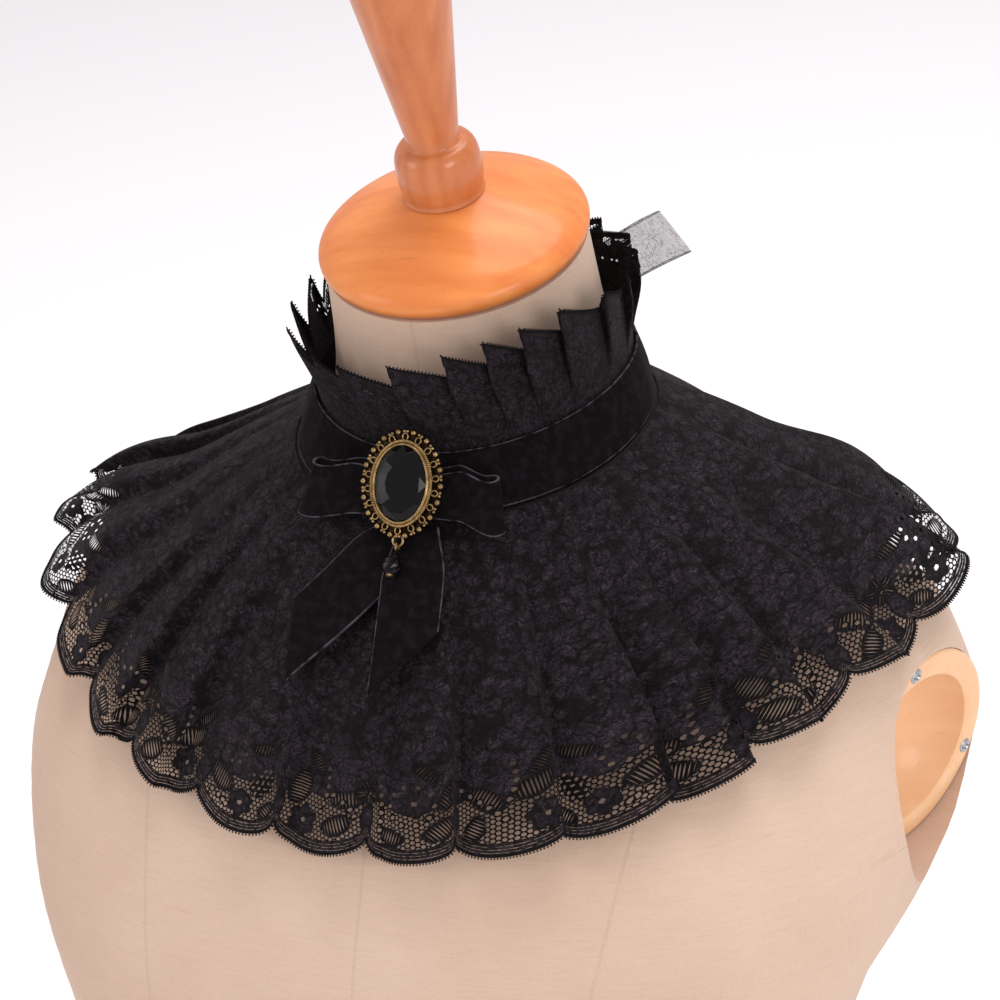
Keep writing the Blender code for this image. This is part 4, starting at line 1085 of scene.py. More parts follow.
def makeBowTail(name, length, turn, start, extra, slant):
    across = np.linspace(-0.5, 0.5, ribbon["rows"])[:, None]
    share = np.linspace(0.0, 1.0, ribbon["steps"])[None, :]
    end = length + across * slant
    along = ribbon["tailStart"] + (end - ribbon["tailStart"]) * share
    opened = smoothStep(along / ribbon["open"])
    sideways = across * ribbon["width"] * (ribbon["pinch"] + (1.0 - ribbon["pinch"]) * opened)
    right = start - along * sin(turn) + sideways * cos(turn)
    down = np.maximum(ribbon["tailStart"] * 0.5 + along * cos(turn) + sideways * sin(turn),
                      ribbon["tailTop"])
    angle = right / readDrape(drapeRadii, np.zeros_like(down), down)
    ripple = ribbon["tailRipple"] * np.sin(along * 95.0 + across * 2.0) * opened \
        + ribbon["tailFold"] * (1.0 - opened) * np.cos(tau * 1.5 * across)
    points = drapePoint(angle, down, overPleats(down) + extra + clearGap + ripple)
    mesh = ribbonMesh(name, points, flip=True)
    return giveWall(linkMesh(name, mesh, blackVelvet), ribbon["wall"], 1.0)


bandPiece = makeBand()
loopPieces = [makeBowLoop("velvetLoopLeft", 1.0), makeBowLoop("velvetLoopRight", -1.0)]
tailPieces = [makeBowTail(*row[:6]) for row in ribbon["tails"]]
print("stage: velvet ribbon")


knot = {
    "width": 0.0165,
    "height": 0.0205,
    "depth": 0.0085,
    "rise": 0.0115,
    "lift": 0.0014,
    "lean": radians(29.0),
    "columns": 56,
    "rows": 40,
    "inset": 0.97,         # inside the solid knot
    "squareness": 0.55,
}


# A frame on the band: X along it, Y up its slope, Z away from the neck
def frontFrame(angle, rise, lift, lean):
    place = Vector(bandPoint(np.float64(angle), rise, lift).tolist())
    return Matrix.Translation(place) @ Matrix.Rotation(angle, 4, "Z") \
        @ Matrix.Rotation(pi / 2 - lean, 4, "X")


knotFrame = frontFrame(0.0, knot["rise"], ribbon["cadWall"] + clearGap + knot["lift"]
                       + knot["depth"] / 2, knot["lean"])


# A ribbon wrapped round the loops: a crowned block with folds running up and down
def makeKnot():
    half = [knot[key] / 2 * knot["inset"] for key in ("width", "height", "depth")]
    rings = []
    for i in range(1, knot["rows"]):
        up = -cos(pi * i / knot["rows"])
        fat = (1.0 - abs(up) ** 6) ** (1 / 3)
        ring = []
        for j in range(knot["columns"]):
            x, z = (copysign(abs(way) ** knot["squareness"], way)
                    for way in (cos(tau * j / knot["columns"]), sin(tau * j / knot["columns"])))
            crease = 1.0 - 0.05 * (0.5 + 0.5 * cos(9.0 * x + 1.5 * up))
            pinchIn = 1.0 - 0.06 * (1.0 - up * up)
            ring.append(knotFrame @ Vector((x * fat * pinchIn * half[0], up * half[1],
                                            z * fat * crease * half[2])))
        rings.append(ring)
    mesh = ringMesh("velvetKnot", rings)
    mesh.attributes.new("selvedge", "FLOAT", "POINT").data.foreach_set(   # no edge shows
        "value", np.full(len(mesh.vertices), 9.0, np.float32))
    mesh.shade_smooth()
    return linkMesh("velvetKnot", mesh, blackVelvet)


knotPiece = makeKnot()


brooch = {
    "raise": 0.0012,
    "stone": (0.0110, 0.0150),       # half width, half height
    "lobes": 18,
    "lobeDepth": 0.0007,
    "ball": 0.00118,
    "ballHeight": 0.0016,
    "smallBall": 0.00066,
    "ballOut": 0.00475,
    "scroll": 0.00135,
    "scrollWire": 0.00030,
    "scrollOut": 0.00275,
    "scrollHeight": 0.0020,
    "rope": 0.00042,
    "ropeOut": 0.00105,
    "ropeHeight": 0.0027,
    "ropeTurns": 58,
    # how far outside the stone's outline, how high, and how far the lobes show
    "plateSection": ((0.0016, 0.0, 0.0), (0.0030, 0.0, 0.3), (0.0040, 0.0004, 1.0),
                     (0.0042, 0.0008, 1.0), (0.0037, 0.0012, 0.9), (0.0026, 0.0012, 0.2),
                     (0.0012, 0.0013, 0.0)),
    "bezelSection": ((0.0014, 0.0012, 0.0), (0.0013, 0.0021, 0.0), (0.0006, 0.0024, 0.0),
                     (0.0003, 0.0036, 0.0), (-0.0003, 0.0038, 0.0), (-0.0007, 0.0034, 0.0),
                     (-0.0008, 0.0018, 0.0)),
    "facets": 12,
    # the stone's rows: share of the outline, height, turn in facets
    "cut": ((0.97, 0.0014, 0.0), (0.97, 0.0034, 0.0), (0.78, 0.0052, 0.5), (0.46, 0.0063, 0.0)),
    "bevel": 0.00007,
    "lugOut": 0.0048,
    "lugHeight": 0.00085,
    "lugRadius": 0.0021,
    "lugWire": 0.0005,
    "linkRadius": 0.0016,
    "linkWire": 0.0004,
    "dropRadius": 0.0037,
    "dropLength": 0.0105,
    "dropSlope": radians(54.0),
    # the bead and its brass tip: shares of the drop's length and radius
    "bead": ((0.02, 0.20), (0.10, 0.42), (0.20, 0.62), (0.34, 0.80), (0.58, 1.0), (0.76, 0.86),
             (0.88, 0.60), (0.93, 0.40)),
    "tip": ((0.90, 0.44), (0.94, 0.46), (0.97, 0.34), (0.99, 0.14)),
}
broochFrame = knotFrame @ Matrix.Translation((0.0, brooch["raise"], knot["depth"] / 2 + clearGap))


# Cast brass, antiqued: warm worn metal with dark patina held in its hollows
def brassMaterial(name, hollowTone, wornTone):
    material, tree, shader = newMaterial(name)
    place = addNode(tree, "TexCoord").outputs["Object"]
    spots = addNode(tree, "TexNoise", {"Vector": place, "Scale": 420.0, "Detail": 4.0})
    fine = addNode(tree, "TexNoise", {"Vector": place, "Scale": 2600.0, "Detail": 2.0})
    hollow = addNode(tree, "NewGeometry")
    worn = addNode(tree, "MapRange", (hollow.outputs["Pointiness"], 0.46, 0.56))
    mixed = addNode(tree, "Math", (worn, spots), operation="MULTIPLY")
    factor = addNode(tree, "MapRange", (mixed, 0.05, 0.56))
    tone = addNode(tree, "Mix", {"Factor": factor, 6: hollowTone, 7: wornTone}, data_type="RGBA")
    rough = addNode(tree, "MapRange", (factor, 0.0, 1.0, 0.55, 0.27))
    bump = addNode(tree, "Bump", {"Height": fine, "Strength": 0.25, "Distance": 0.0002})
    setInputs(tree, shader, {"Base Color": tone, "Roughness": rough, "Normal": bump,
            "Metallic": 1.0})
    return material


# Black pressed glass, polished: near black with crisp reflections on its facets
def jetMaterial():
    material, tree, shader = newMaterial("blackPressedGlass")
    place = addNode(tree, "TexCoord").outputs["Object"]
    smear = addNode(tree, "TexNoise", {"Vector": place, "Scale": 260.0, "Detail": 3.0})
    rough = addNode(tree, "MapRange", (smear, 0.0, 1.0, 0.02, 0.13))
    setInputs(tree, shader, {"Roughness": rough, "Base Color": "#0b090b", "IOR": 1.52,
            "Specular IOR Level": 0.16})
    return material


castBrass = brassMaterial("antiquedCastBrass", "#1b130b", "#a3865a")
patinaBrass = brassMaterial("patinatedBrassGround", "#0a0705", "#33271a")
blackGlass = jetMaterial()


# Points spaced evenly along an oval round the stone
def ovalPoints(outset, height, phase=0.0):
    count = brooch["lobes"]
    a, b = brooch["stone"][0] + outset, brooch["stone"][1] + outset
    fine = np.linspace(0.0, tau, 721)
    x, y = a * np.cos(fine), b * np.sin(fine)
    length = np.concatenate([[0.0], np.cumsum(np.hypot(np.diff(x), np.diff(y)))])
    turns = np.interp((np.arange(count) + phase) / count * length[-1], length, fine)
    return [Vector((a * cos(t), b * sin(t), height)) for t in turns]


# Cast balls on every point of a path
def beadTree(tree, ins):
    ball = addNode(tree, "GeometryNodeMeshUVSphere",
            {"Segments": 12, "Rings": 8, "Radius": ins["radius"]})
    beads = addNode(tree, "GeometryNodeInstanceOnPoints",
            {"Points": ins["Geometry"], "Instance": ball})
    whole = addNode(tree, "GeometryNodeRealizeInstances", (beads,))
    smooth = addNode(tree, "GeometryNodeSetShadeSmooth", (whole,))
    return addNode(tree, "GeometryNodeSetMaterial", {0: smooth, "Material": ins["material"]})


# A round wire along every path
def wireTree(tree, ins):
    path = addNode(tree, "GeometryNodeMeshToCurve", (ins["Geometry"],))
    section = addNode(tree, "GeometryNodeCurvePrimitiveCircle",
            {"Resolution": 8, "Radius": ins["radius"]})
    wire = addNode(tree, "GeometryNodeCurveToMesh", (path, section, True))
    return finishTree(tree, wire, ins)


# Several closed paths as one piece of edges
def pathObject(name, paths):
    points, edges = [], []
    for path in paths:
        first = len(points)
        points += [tuple(p) for p in path]
        edges += [(first + i, first + (i + 1) % len(path)) for i in range(len(path))]
    mesh = bpy.data.meshes.new(name)
    mesh.from_pydata(points, edges, [])
    return linkMesh(name, mesh)


def beads(name, points, radius):
    return nodeModifier("castBeads", beadTree, pathObject(name, [points]), radius=radius,
                        material=castBrass)


def wires(name, paths, radius):
    return nodeModifier("wireWork", wireTree, pathObject(name, paths), radius=radius,
                        material=castBrass)


# A ring in the brooch's outline, wider by its outset
def outlineRing(outset, height, lobes):
    a, b = brooch["stone"]
    ring = []
    for turn in np.arange(brooch["lobes"] * 10) * tau / (brooch["lobes"] * 10):
        out = outset + brooch["lobeDepth"] * lobes * cos(brooch["lobes"] * turn)
        ring.append(Vector(((a + out) * cos(turn), (b + out) * sin(turn), height)))
    return ring


# One strand of the twisted wire round the stone
def ropeStrand(start):
    a, b = brooch["stone"]
    steps, wire = brooch["ropeTurns"] * 10, brooch["rope"]
    path = []
    for i in range(steps):
        turn, spin = i * tau / steps, i * tau / 10 + start
        out = brooch["ropeOut"] + wire * cos(spin)
        path.append(Vector(((a + out) * cos(turn), (b + out) * sin(turn),
                            brooch["ropeHeight"] + wire * sin(spin))))
    return path


def makeBrooch():
    made = []
    for name, finish, section in (("broochPlate", patinaBrass, brooch["plateSection"]),
                                  ("broochBezel", castBrass, brooch["bezelSection"])):
        made.append(linkMesh(name, ringMesh(name, [outlineRing(*row) for row in section]), finish))
    balls = ovalPoints(brooch["ballOut"], brooch["ballHeight"])
    seeds = [point for phase in (0.40, 0.60) for point in ovalPoints(
        brooch["ballOut"] + 0.0001, brooch["ballHeight"] + 0.0001, phase)]
    made += [beads("broochBalls", balls, brooch["ball"]),
             beads("broochSeeds", seeds, brooch["smallBall"])]
    scrolls = []
    for point, ahead in zip(*(ovalPoints(brooch["scrollOut"], brooch["scrollHeight"], phase)
                              for phase in (0.5, 0.55))):
        along = (ahead - point).normalized() * brooch["scroll"]
        out = Vector((along.y, -along.x, 0.0))
        scrolls.append([point + along * 0.8 * cos(t) + out * sin(t)
                        for t in np.arange(14) * tau / 14])
    lugCentre = Vector((0.0, -brooch["stone"][1] - brooch["lugOut"] - brooch["lugRadius"]
                        + brooch["lugWire"], brooch["lugHeight"]))
    lug = [lugCentre + p for p in ellipse(brooch["lugRadius"], brooch["lugRadius"], 0.0, 28)]
    made += [wires("broochScrolls", scrolls, brooch["scrollWire"]),
             wires("broochRope", [ropeStrand(0.0), ropeStrand(pi)], brooch["rope"] * 0.85),
             wires("broochLug", [lug], brooch["lugWire"])]
    for piece in made:
        piece.data.transform(broochFrame)
        piece.data.shade_smooth()
    return made, broochFrame @ lugCentre


# A table-cut oval: girdle, two rows of crown facets and a flat table
def makeStone():
    count = brooch["facets"]
    a, b = brooch["stone"]
    bm = bmesh.new()
    rows = [[bm.verts.new(p) for p in ellipse(a * share, b * share, height, count, start)]
            for share, height, start in brooch["cut"]]
    bm.faces.new(rows[0][::-1])
    bm.faces.new(rows[3])
    for i in range(count):
        k = (i + 1) % count
        for face in ((rows[0][i], rows[0][k], rows[1][k], rows[1][i]),
                     (rows[1][i], rows[1][k], rows[2][i]), (rows[1][k], rows[2][k], rows[2][i]),
                     (rows[2][i], rows[3][k], rows[3][i]), (rows[2][i], rows[2][k], rows[3][k])):
            bm.faces.new(face)
    bmesh.ops.recalc_face_normals(bm, faces=bm.faces)
    bmesh.ops.bevel(bm, geom=bm.edges[:], offset=brooch["bevel"], segments=1, affect="EDGES")
    mesh = meshFrom(bm, "facetedStone")
    mesh.transform(broochFrame)
    return linkMesh("facetedStone", mesh, blackGlass)


def makeDrop(lugCentre):
    down = Vector((0.0, -sin(knot["lean"]), -cos(knot["lean"])))
    hinge = Matrix.Translation(lugCentre + down * brooch["lugRadius"]) \
        @ Matrix.Rotation(pi / 2 - brooch["dropSlope"], 4, "X")
    radius, wire = brooch["linkRadius"], brooch["linkWire"]
    hang = radius - wire - brooch["lugWire"] - clearGap
    link = wires("dropLink", [[Vector((0.0, -hang + radius * cos(t), radius * sin(t)))
                               for t in np.arange(24) * tau / 24]], wire)
    link.data.shade_smooth()
    lay = Matrix.Translation((0.0, -(hang + radius + wire + clearGap), 0.0)) \
        @ Matrix.Rotation(pi / 2, 4, "X")
    rows, cap = ([(share * brooch["dropLength"], brooch["dropRadius"] * fat) for share, fat in part]
                 for part in (brooch["bead"], brooch["tip"]))
    bead = linkMesh("dropBead", ringMesh("dropBead", [
        [lay @ p for p in ellipse(r, r, z, 12, 0.5 * (k % 2))] for k, (z, r) in enumerate(rows)]),
        blackGlass)
    tip = linkMesh("dropTip", turnedMesh("dropTip", cap, 20, lay), castBrass)
    for piece in (link, bead, tip):
        piece.data.transform(hinge)
    return [link, bead, tip]


broochPieces, lugCentre = makeBrooch()
stonePiece = makeStone()
linkPiece, beadPiece, tipPiece = makeDrop(lugCentre)
print("stage: brooch")


tie = {
    "width": 0.0240,
    "lift": 0.0042,
    "spread": 0.50,
    "tailLift": 0.0015,
    "tailRipple": 0.0006,
    "rootGap": 0.0009,    # between the knot's side and the loops' ends
    "knot": (0.0150, 0.0170, 0.0080),
    "knotLean": radians(6.0),
    "knotRows": 24,
    "knotColumns": 40,
    "rows": 13,           # across the ribbon
    "rise": 0.55,
    "wrap": 0.55,
    "stand": 0.55,
    "pinch": 0.35,
    "tailStart": 0.0030,
    "tailDrop": 0.0060,
    "tailApart": 0.0010,
    "loops": (   # name, side, reach, rise at the end, depth, slant of the fold, its node
        ("organzaLoopLeft", 1.0, 0.0550, 0.0245, 0.0100, -0.0120, "tie_loop_left"),
        ("organzaLoopRight", -1.0, 0.0540, 0.0090, 0.0100, 0.0060, "tie_loop_right")),
    "tails": (("organzaTailLeft", 0.0900, radians(-16.0), "tie_tail_left"),
              ("organzaTailRight", 0.0820, radians(18.0), "tie_tail_right")),
}


# Nylon organza: sheer plain weave with a silky glint and closer-woven edges
def organzaMaterial():
    material, tree, shader = newMaterial("greyNylonOrganza")
    edge = addNode(tree, "Attribute", attribute_name="selvedge").outputs["Fac"]
    place = addNode(tree, "TexCoord").outputs["Object"]
    cloud = addNode(tree, "TexNoise", {"Vector": place, "Scale": 60.0})
    thread = addNode(tree, "TexNoise", {"Vector": place, "Scale": 2400.0})
    closed = addNode(tree, "MapRange", (edge, 0.3, 0.7, 0.9, 0.30))
    # creases: thin wandering lines where the sheer cloth has been crushed
    crush = addNode(tree, "TexNoise", {"Vector": place, "Scale": 170.0, "Detail": 3.0,
            "Distortion": 0.8})
    folded = addNode(tree, "Math", (crush, 0.07), operation="PINGPONG")
    crease = addNode(tree, "MapRange", (folded, 0.0, 0.022, 0.30, 0.0))
    creased = addNode(tree, "Math", (closed, crease))
    woven = addNode(tree, "MapRange", (thread, 0.3, 0.7, 0.75, 1.25))
    cover = addNode(tree, "Math", (creased, woven), operation="MULTIPLY", use_clamp=True)
    tone = addNode(tree, "Mix", {"Factor": cloud, 6: "#3d353c", 7: "#6b6067"}, data_type="RGBA")
    setInputs(tree, shader, {"Base Color": tone, "Alpha": cover, "Roughness": 0.36,
            "Sheen Weight": 0.3})
    return material


organza = organzaMaterial()


def makeTieLoop(name, side, reach, liftEnd, depth, slant):
    foot, root = ribbon["cadWall"] + clearGap, tie["knot"][0] / 2 + tie["rootGap"]
    rise = seam["bandWidth"] * tie["rise"]
    roundNeck = float(bandRadius(pi, rise)) + foot
    rows = []
    for width in np.linspace(-0.5, 0.5, tie["rows"]):
        row = []
        for along, off in loopPath(reach + slant * width, depth, root):
            share = (along - root) / (reach - root)
            angle = pi - side * (root + (along - root) * tie["wrap"]) / roundNeck
            spread = tie["pinch"] + (1.0 - tie["pinch"]) * float(smoothStep(share * 2.2))
            up = rise + width * tie["width"] * spread + liftEnd * share
            opened = tie["spread"] + (1.0 - tie["spread"]) * float(smoothStep(share * 2.0))
            away = foot + tie["lift"] + off * opened
            point = bandPoint(angle, rise, away + tie["stand"] * (along - root))
            point[2] += up - rise
            row.append(point.tolist())
        rows.append(row)
    mesh = ribbonMesh(name, np.array(rows), flip=side > 0.0)
    return linkMesh(name, mesh, organza)


def makeTieTail(name, length, turn):
    side = 1.0 if turn < 0.0 else -1.0
    across = np.linspace(-0.5, 0.5, tie["rows"])[:, None]
    share = np.linspace(0.0, 1.0, ribbon["steps"])[None, :]
    along = tie["tailStart"] + (length - tie["tailStart"]) * share
    sideways = across * tie["width"]
    left = side * (tie["width"] / 2 + tie["tailApart"]) - along * sin(turn) + sideways * cos(turn)
    down = along * cos(turn) + sideways * sin(turn) + tie["tailDrop"]
    angle = (2 * pi - left / readDrape(drapeRadii, np.full_like(down, pi), down)) % tau - pi
    lift = overPleats(down) + tie["tailLift"] + tie["tailRipple"] * np.sin(along * 120.0)
    mesh = ribbonMesh(name, drapePoint(angle, down, lift), flip=True)
    return linkMesh(name, mesh, organza)


def makeTieKnot():
    wide, high, deep = tie["knot"]
    rise = seam["bandWidth"] * tie["rise"]
    place = frontFrame(pi, rise, ribbon["cadWall"] + clearGap + deep / 2, tie["knotLean"])
    rings = []
    for i in range(1, tie["knotRows"]):
        up = -cos(pi * i / tie["knotRows"])
        fat = (1.0 - abs(up) ** 5) ** 0.4
        ring = []
        for t in np.arange(tie["knotColumns"]) * tau / tie["knotColumns"]:
            bulge = fat / 2 * (0.93 + 0.05 * cos(7 * t + 3 * up))
            ring.append(place @ Vector((cos(t) * bulge * wide, up * high / 2 * 0.97,
                                        sin(t) * bulge * deep)))
        rings.append(ring)
    mesh = ringMesh("organzaKnot", rings)
    mesh.attributes.new("selvedge", "FLOAT", "POINT")
    mesh.shade_smooth()
    return linkMesh("organzaKnot", mesh, organza)


tieLoops = [makeTieLoop(*row[:6]) for row in tie["loops"]]
tieTails = [makeTieTail(*row[:3]) for row in tie["tails"]]
tieKnot = makeTieKnot()
print("stage: organza tie")


linen = {
    "pale": "#d0b5a1",
    "deep": "#c5a792",
    "fleck": "#bd977b",
    "thread": 0.0008,
    "seamWidth": 0.0006,
    "stitchPitch": 0.0032,
}


# Natural linen, plain woven: uneven slubs, pale beige, sewn panels with sunk seams
def linenMaterial():
    material, tree, shader = newMaterial("naturalLinen")
    place = addNode(tree, "TexCoord").outputs["Object"]
    threads = []
    for stretch in ((1.0, 1.0, 0.06), (0.06, 0.06, 1.0)):   # warp, weft
        run = addNode(tree, "Mapping", {"Vector": place, "Scale": stretch})
        threads.append(addNode(tree, "TexNoise", {"Vector": run, "Scale": 1.1 / linen["thread"],
                "Detail": 2.0}))
    weave = addNode(tree, "Math", threads)
    slub = addNode(tree, "TexNoise", {"Vector": run, "Scale": 300.0, "Detail": 3.0})
    stain = addNode(tree, "TexNoise", {"Vector": place, "Scale": 9.0, "Detail": 4.0})
    split = addNode(tree, "SeparateXYZ", (place,))
    # seams: centre front and back, and one each side of it
    side = addNode(tree, "Math", (split.outputs["X"],), operation="ABSOLUTE")
    lean = addNode(tree, "Math", (split.outputs["Z"], 0.16, 0.045), operation="MULTIPLY_ADD")
    offSide = addNode(tree, "Math", (side, lean), operation="SUBTRACT")
    panel = addNode(tree, "Math", (offSide,), operation="ABSOLUTE")
    nearest = addNode(tree, "Math", (side, panel), operation="MINIMUM")
    sunk = addNode(tree, "MapRange", (nearest, 0.0, linen["seamWidth"] * 2.0),
            interpolation_type="SMOOTHSTEP")
    stitch = addNode(tree, "Math", (split.outputs["Z"], linen["stitchPitch"] / 2),
            operation="PINGPONG")
    shade = addNode(tree, "MapRange", (stain, 0.35, 0.7))
    ground = addNode(tree, "Mix", {"Factor": shade, 6: linen["pale"], 7: linen["deep"]},
            data_type="RGBA")
    flecks = addNode(tree, "MapRange", (slub, 0.66, 0.80, 0.0, 0.55))
    flecked = addNode(tree, "Mix", {"Factor": flecks, 6: ground, 7: linen["fleck"]},
            data_type="RGBA")
    threadTone = addNode(tree, "MapRange", (weave, 0.7, 1.3, 0.95, 1.03))
    seamTone = addNode(tree, "MapRange", (sunk, 0.0, 1.0, 0.93, 1.0))
    tone = addNode(tree, "Math", (threadTone, seamTone), operation="MULTIPLY")
    colour = addNode(tree, "VectorMath", {0: flecked, "Scale": tone}, operation="SCALE")
    height = addNode(tree, "Math", (sunk, 1.2, weave), operation="MULTIPLY_ADD")
    stitched = addNode(tree, "Math", (stitch, 90.0, height), operation="MULTIPLY_ADD")
    bump = addNode(tree, "Bump", {"Height": stitched, "Strength": 0.4, "Distance": 0.0003})
    setInputs(tree, shader, {"Base Color": colour, "Normal": bump, "Roughness": 0.86,
            "Sheen Weight": 0.08, "Specular IOR Level": 0.3})
    return material


naturalLinen = linenMaterial()
socket = {
    "face": Vector((0.1775, -0.0185, 0.318)),
    "down": radians(9.0),
    "forward": radians(24.0),
    "radius": 0.0430,
    "depth": 0.034,
    "bowl": 0.0330,
    "ball": 0.0345,
    "steps": 96,
    "screws": 3,
    "screwCircle": 0.0380,
    "screwTurn": radians(96.0),
    "screwHead": 0.0031,
}


# Frame of a socket's face: Z points out of the shoulder
def socketFrame(side):
    down, forward = socket["down"], socket["forward"]
    outward = Vector((side * cos(down) * cos(forward), -cos(down) * sin(forward), -sin(down)))
    return facing(Vector((side * socket["face"].x, socket["face"].y, socket["face"].z)), outward)


def makeTorso():
    turns = np.arange(form["columns"]) * tau / form["columns"]
    heights = np.concatenate([[0.0, 0.0015, 0.004], np.linspace(0.012, 0.49, 90)])
    rings = []
    for height in heights:
        inset = form["edge"] * max(0.0, 1.0 - height / form["edge"]) ** 2
        rings.append([Vector(p) for p in formPoint(
            turns, formRadius(turns, height) - inset, height).tolist()])
    top = neckFrame @ Matrix.Translation((0.0, 0.0, -form["neckBelowCap"]))
    rings.append([top @ Vector((form["neckRadius"] * sin(t), -form["neckRadius"] * cos(t), 0.0))
                  for t in turns])
    torso = linkMesh("linenTorso", ringMesh("linenTorso", rings), naturalLinen)
    cutters = []
    wide = socket["radius"] + clearGap
    for side in (1.0, -1.0):
        pocket = turnedMesh("pocket", [(-socket["depth"] - clearGap, wide), (0.05, wide)],
                            socket["steps"], socketFrame(side))
        cutters.append(linkMesh("pocket", pocket, naturalLinen))
        cut = torso.modifiers.new("pocket", "BOOLEAN")
        cut.operation, cut.solver, cut.object = "DIFFERENCE", "EXACT", cutters[-1]
    bakePiece(torso)
    for cutter in cutters:
        bpy.data.objects.remove(cutter, do_unlink=True)
    torso.data.shade_smooth()
    torso.data.set_sharp_from_angle(angle=radians(42))
    return torso


torsoPiece = makeTorso()
print("stage: torso", len(torsoPiece.data.polygons))


wood = {
    "capProfile": ((0.0185, 0.0150), (0.0163, 0.0210), (0.0122, 0.0340), (0.0072, 0.0455),
                   (0.0038, 0.0508), (0.0008, 0.0530), (-0.0025, 0.0529), (-0.0055, 0.0505)),
    "finialProfile": ((0.1892, 0.0085), (0.1855, 0.0158), (0.1790, 0.0210), (0.1700, 0.0238),
                      (0.1590, 0.0243), (0.1350, 0.0227), (0.1050, 0.0187), (0.0750, 0.0146),
                      (0.0520, 0.0114), (0.0440, 0.0103), (0.0415, 0.0108), (0.0405, 0.0135),
                      (0.0378, 0.0156), (0.0335, 0.0165), (0.0270, 0.0166), (0.0225, 0.0160),
                      (0.0205, 0.0156), (0.0188, 0.0160)),
    "steps": 96,
    "varnished": ("#d06c2d", "#ee9650", "#8f4a1a"),
    # the finial's copy of the cap's varnished beech, its colours painted darker as the shade on the
    # upright stem
    "shadedStem": ("#b05c2a", "#d58350", "#763d18"),
    "pale": ("#e2b183", "#ecc096", "#bb8452"),
    "ringWidth": 0.0042,
}


# Turned hardwood under varnish: long grain, faint rings and a clear coat over it
def woodMaterial(name, colours, coat, roughness, along):
    material, tree, shader = newMaterial(name)
    place = addNode(tree, "TexCoord").outputs["Object"]
    run = addNode(tree, "Mapping", {"Vector": place, "Scale": along})
    figure = addNode(tree, "TexNoise", {"Vector": run, "Scale": 130.0, "Detail": 5.0,
            "Distortion": 0.2})
    pores = addNode(tree, "TexNoise", {"Vector": run, "Scale": 900.0, "Detail": 2.0})
    rings = addNode(tree, "TexWave", {"Vector": run, "Scale": 0.05 / wood["ringWidth"] * 4,
            "Distortion": 2.5, "Detail": 2.0, "Detail Scale": 1.5})
    grain = addNode(tree, "Mix", {"Factor": 0.1, 2: figure, 3: rings.outputs["Fac"]},
            data_type="FLOAT")
    ramp = addNode(tree, "MapRange", (grain, 0.15, 0.85))
    tone = addNode(tree, "Mix", {"Factor": ramp, 6: colours[0], 7: colours[1]}, data_type="RGBA")
    dark = addNode(tree, "MapRange", (pores, 0.66, 0.80, 0.0, 0.35))
    pored = addNode(tree, "Mix", {"Factor": dark, 6: tone, 7: colours[2]}, data_type="RGBA")
    wobble = addNode(tree, "TexNoise", {"Vector": place, "Scale": 40.0, "Detail": 2.0})
    rough = addNode(tree, "MapRange", (wobble, 0.0, 1.0, roughness, roughness + 0.14))
    bump = addNode(tree, "Bump", {"Height": pores, "Strength": 0.06, "Distance": 0.0004})
    setInputs(tree, shader, {"Base Color": pored, "Roughness": rough, "Normal": bump,
            "Coat Weight": coat, "Coat Roughness": 0.13, "Specular IOR Level": 0.3})
    return material


varnishedWood = woodMaterial("varnishedBeech", wood["varnished"], 0.26, 0.42, (0.12, 1.0, 1.0))
# the finial's stem: the same varnished beech as the cap, with darker colours that are a painted
# shade
shadedStemWood = woodMaterial("varnishedBeechShadedStem", wood["shadedStem"], 0.45, 0.36, (1.0, 1.0, 0.10))
paleWood = woodMaterial("oiledBeech", wood["pale"], 0.2, 0.42, (0.12, 1.0, 1.0))


# The same profile with more points, rounded through its control points
def finerProfile(rows, steps=4):
    fine = []
    for i in range(len(rows) - 1):
        before, start = Vector(rows[max(i - 1, 0)]), Vector(rows[i])
        end, after = Vector(rows[i + 1]), Vector(rows[min(i + 2, len(rows) - 1)])
        for j in range(steps):
            t = j / steps
            curve = 0.5 * ((2 * start) + (end - before) * t
                           + (2 * before - 5 * start + 4 * end - after) * t * t
                           + (3 * start - before - 3 * end + after) * t ** 3)
            fine.append((curve.x, curve.y))
    return fine + [rows[-1]]


def makeWood():
    made = {}
    for name, rows, finish in (("turnedCap", wood["capProfile"], varnishedWood),
                               ("turnedFinial", wood["finialProfile"], shadedStemWood)):
        mesh = turnedMesh(name, finerProfile(rows), wood["steps"], neckFrame)
        made[name] = linkMesh(name, mesh, finish)
    ball, bowl, radius, depth = (socket[key] for key in ("ball", "bowl", "radius", "depth"))
    centre = sqrt(ball ** 2 - bowl ** 2)
    profile = [(-depth, radius - 0.0010), (-depth + 0.001, radius), (-0.0016, radius),
               (-0.0008, radius - 0.0003), (-0.0002, radius - 0.0010), (0.0, radius - 0.0018),
               (0.0, bowl + 0.0012), (-0.0004, bowl + 0.0004)]
    profile += [(centre - ball * cos(t), ball * sin(t))
                for t in np.linspace(asin(bowl / ball) - 0.02, 0.04, 22)]
    for side, name in ((1.0, "socketCupLeft"), (-1.0, "socketCupRight")):
        cup = turnedMesh(name, profile, socket["steps"], socketFrame(side))
        made[name] = linkMesh(name, cup, paleWood)
    return made


woodPieces = makeWood()


# Zinc-plated steel screws: cool grey metal, brushed by the driver
def zincMaterial():
    material, tree, shader = newMaterial("zincPlatedSteel")
    place = addNode(tree, "TexCoord").outputs["Object"]
    scuffs = addNode(tree, "TexNoise", {"Vector": place, "Scale": 1400.0, "Detail": 3.0})
    rough = addNode(tree, "MapRange", (scuffs, 0.0, 1.0, 0.22, 0.50))
    tone = addNode(tree, "Mix", {"Factor": scuffs, 6: "#8f9196", 7: "#c3c5c9"}, data_type="RGBA")
    setInputs(tree, shader, {"Roughness": rough, "Base Color": tone, "Metallic": 1.0})
    return material


zinc = zincMaterial()


